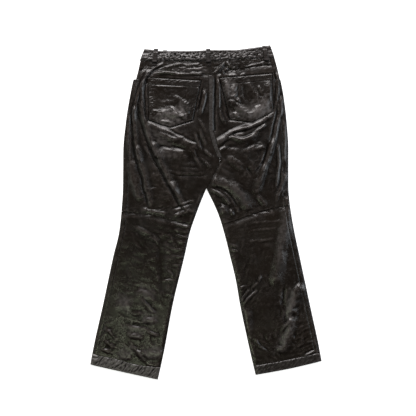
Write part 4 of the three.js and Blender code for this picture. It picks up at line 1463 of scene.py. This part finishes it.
def build_sewing():
    waist, seams, pockets, strip = [], [], [], []
    for leg in (left, right):
        on_back, on_band, on_hem, on_pocket = (
            partial(height, leg) for height in (back_height, band_height, hem_height, pocket_height))
        waist.append((seam_path(leg, leg.band_seam, SEAM_ROWS[0]), on_band))
        waist.append((seam_path(leg, leg.waist_top, -EDGE_ROW), on_band))
        for seam in (leg.yoke_seam, leg.knee_seam):
            for offset in SEAM_ROWS:
                seams.append((seam_path(leg, seam, offset), on_back))
        waist.append((seam_path(leg, leg.hem_seam, -EDGE_ROW), on_hem))
        for inset in POCKET_ROWS:
            top_outer, top_inner, *low = inset_pocket(leg, inset)
            pockets.append((np.array([top_outer, *low[::-1], top_inner]), on_pocket))
        (outer_x, outer_y), (inner_x, inner_y) = leg.pocket.top_outer, leg.pocket.top_inner
        inward, down = -leg.side * 3.0, POCKET_HEM - POCKET_HEM_ROW
        hem_line = np.array([(outer_x + inward, outer_y - down), (inner_x - inward, inner_y - down)])
        pockets.append((hem_line, on_pocket))
    y = np.linspace(STRIP_TOP - 3, STRIP_BOTTOM + 3, 60)
    for offset in STRIP_ROWS:
        path = np.stack([inner_edge(left, y) + offset, y], -1)
        strip.append((path, lambda x, y: strip_height(x, y) - 0.08))
    for _, top, bottom in BACK_LOOPS:
        length = top[1] - bottom[1]
        for at in (EDGE_ROW, length - EDGE_ROW):
            middle, y = mix(top[0], bottom[0], at / length), top[1] - at
            path = np.array([(middle - LOOP_ROW_HALF, y), (middle + LOOP_ROW_HALF, y)])
            level = float(loop_rise(at, length)) + LOOP_WALL
            strip.append((path, lambda x, y, level=level: np.full(x.shape, level)))
    sew("stitches_waist_and_hems", waist)
    sew("stitches_seams", seams)
    sew("stitches_pockets", pockets)
    sew("stitches_strip_and_loops", strip)


# Floor, light and camera

def build_stage():
    """A white floor just below the surface the garment lies on."""
    half, below = FLOOR_HALF, -FLOOR_DROP
    corners = [(-half, -half, below), (half, -half, below), (half, half, below), (-half, half, below)]
    material, tree, _ = start_material("white_floor")
    shade(tree, {
        "Base Color": (0.85, 0.85, 0.85), "Roughness": 0.9, "Specular IOR Level": 0.1,
        "Emission Color": (1.0, 1.0, 1.0), "Emission Strength": 0.8,
    })
    plain_mesh("stage_floor", corners, [(0, 1, 2, 3)], material)


def area_light(name, place, target, size, energy, colour):
    data = bpy.data.lights.new(name, "AREA")
    data.shape = "RECTANGLE"
    data.size, data.size_y = size
    data.energy = energy
    data.color = colour
    light = placed(name, data)
    light.location = place
    dx, dy, dz = np.array(target, float) - np.array(place, float)
    light.rotation_euler = (math.atan2(math.hypot(dx, dy), -dz), 0, math.atan2(dy, dx) - math.pi / 2)


def build_light_and_camera():
    scene = bpy.context.scene
    world = bpy.data.worlds.new("studio")
    world.use_nodes = True
    background = world.node_tree.nodes["Background"]
    background.inputs["Color"].default_value = (0.95, 0.97, 1.0, 1)
    background.inputs["Strength"].default_value = 0.04
    scene.world = world
    area_light("softbox_waist_side", (-0.5, 4.2, 3.8), (0, 0, 0), (5.0, 2.2), 400, (1.0, 0.96, 0.955))
    area_light("softbox_left", (-2.0, -0.3, 1.7), (0, -0.1, 0), (1.0, 1.8), 5, (0.95, 1.0, 0.88))
    area_light("softbox_right", (2.2, 0.2, 1.5), (0, 0, 0), (1.0, 1.8), 20, (0.86, 0.93, 1.0))
    low_left, shin = (-0.30, -0.59, 1.0), (-0.23, -0.43, 0)
    area_light("softbox_low_left", low_left, shin, (0.14, 0.26), 0.9, (0.9, 1.0, 0.7))
    scene.view_settings.view_transform = "Standard"

    # straight above, framed as the photograph: 1300 mm across
    lens, sensor, frame_width = 85.0, 36.0, 1.3
    camera_data = bpy.data.cameras.new("camera")
    camera_data.lens, camera_data.sensor_width = lens, sensor
    camera = placed("camera", camera_data)
    camera.location = (0.00625, 0.01406, frame_width * lens / sensor + LAID_HEIGHT * MM)
    scene.camera = camera


build_light_and_camera()
build_stage()
for leg in (left, right):
    build_leg(leg)
for leg in (left, right):
    build_pocket(leg)
build_strip()
for loop in BACK_LOOPS:
    build_loop(*loop)
for loop in FRONT_LOOPS:
    build_front_loop(*loop)
build_fly()
build_zip()
build_button()
build_sewing()
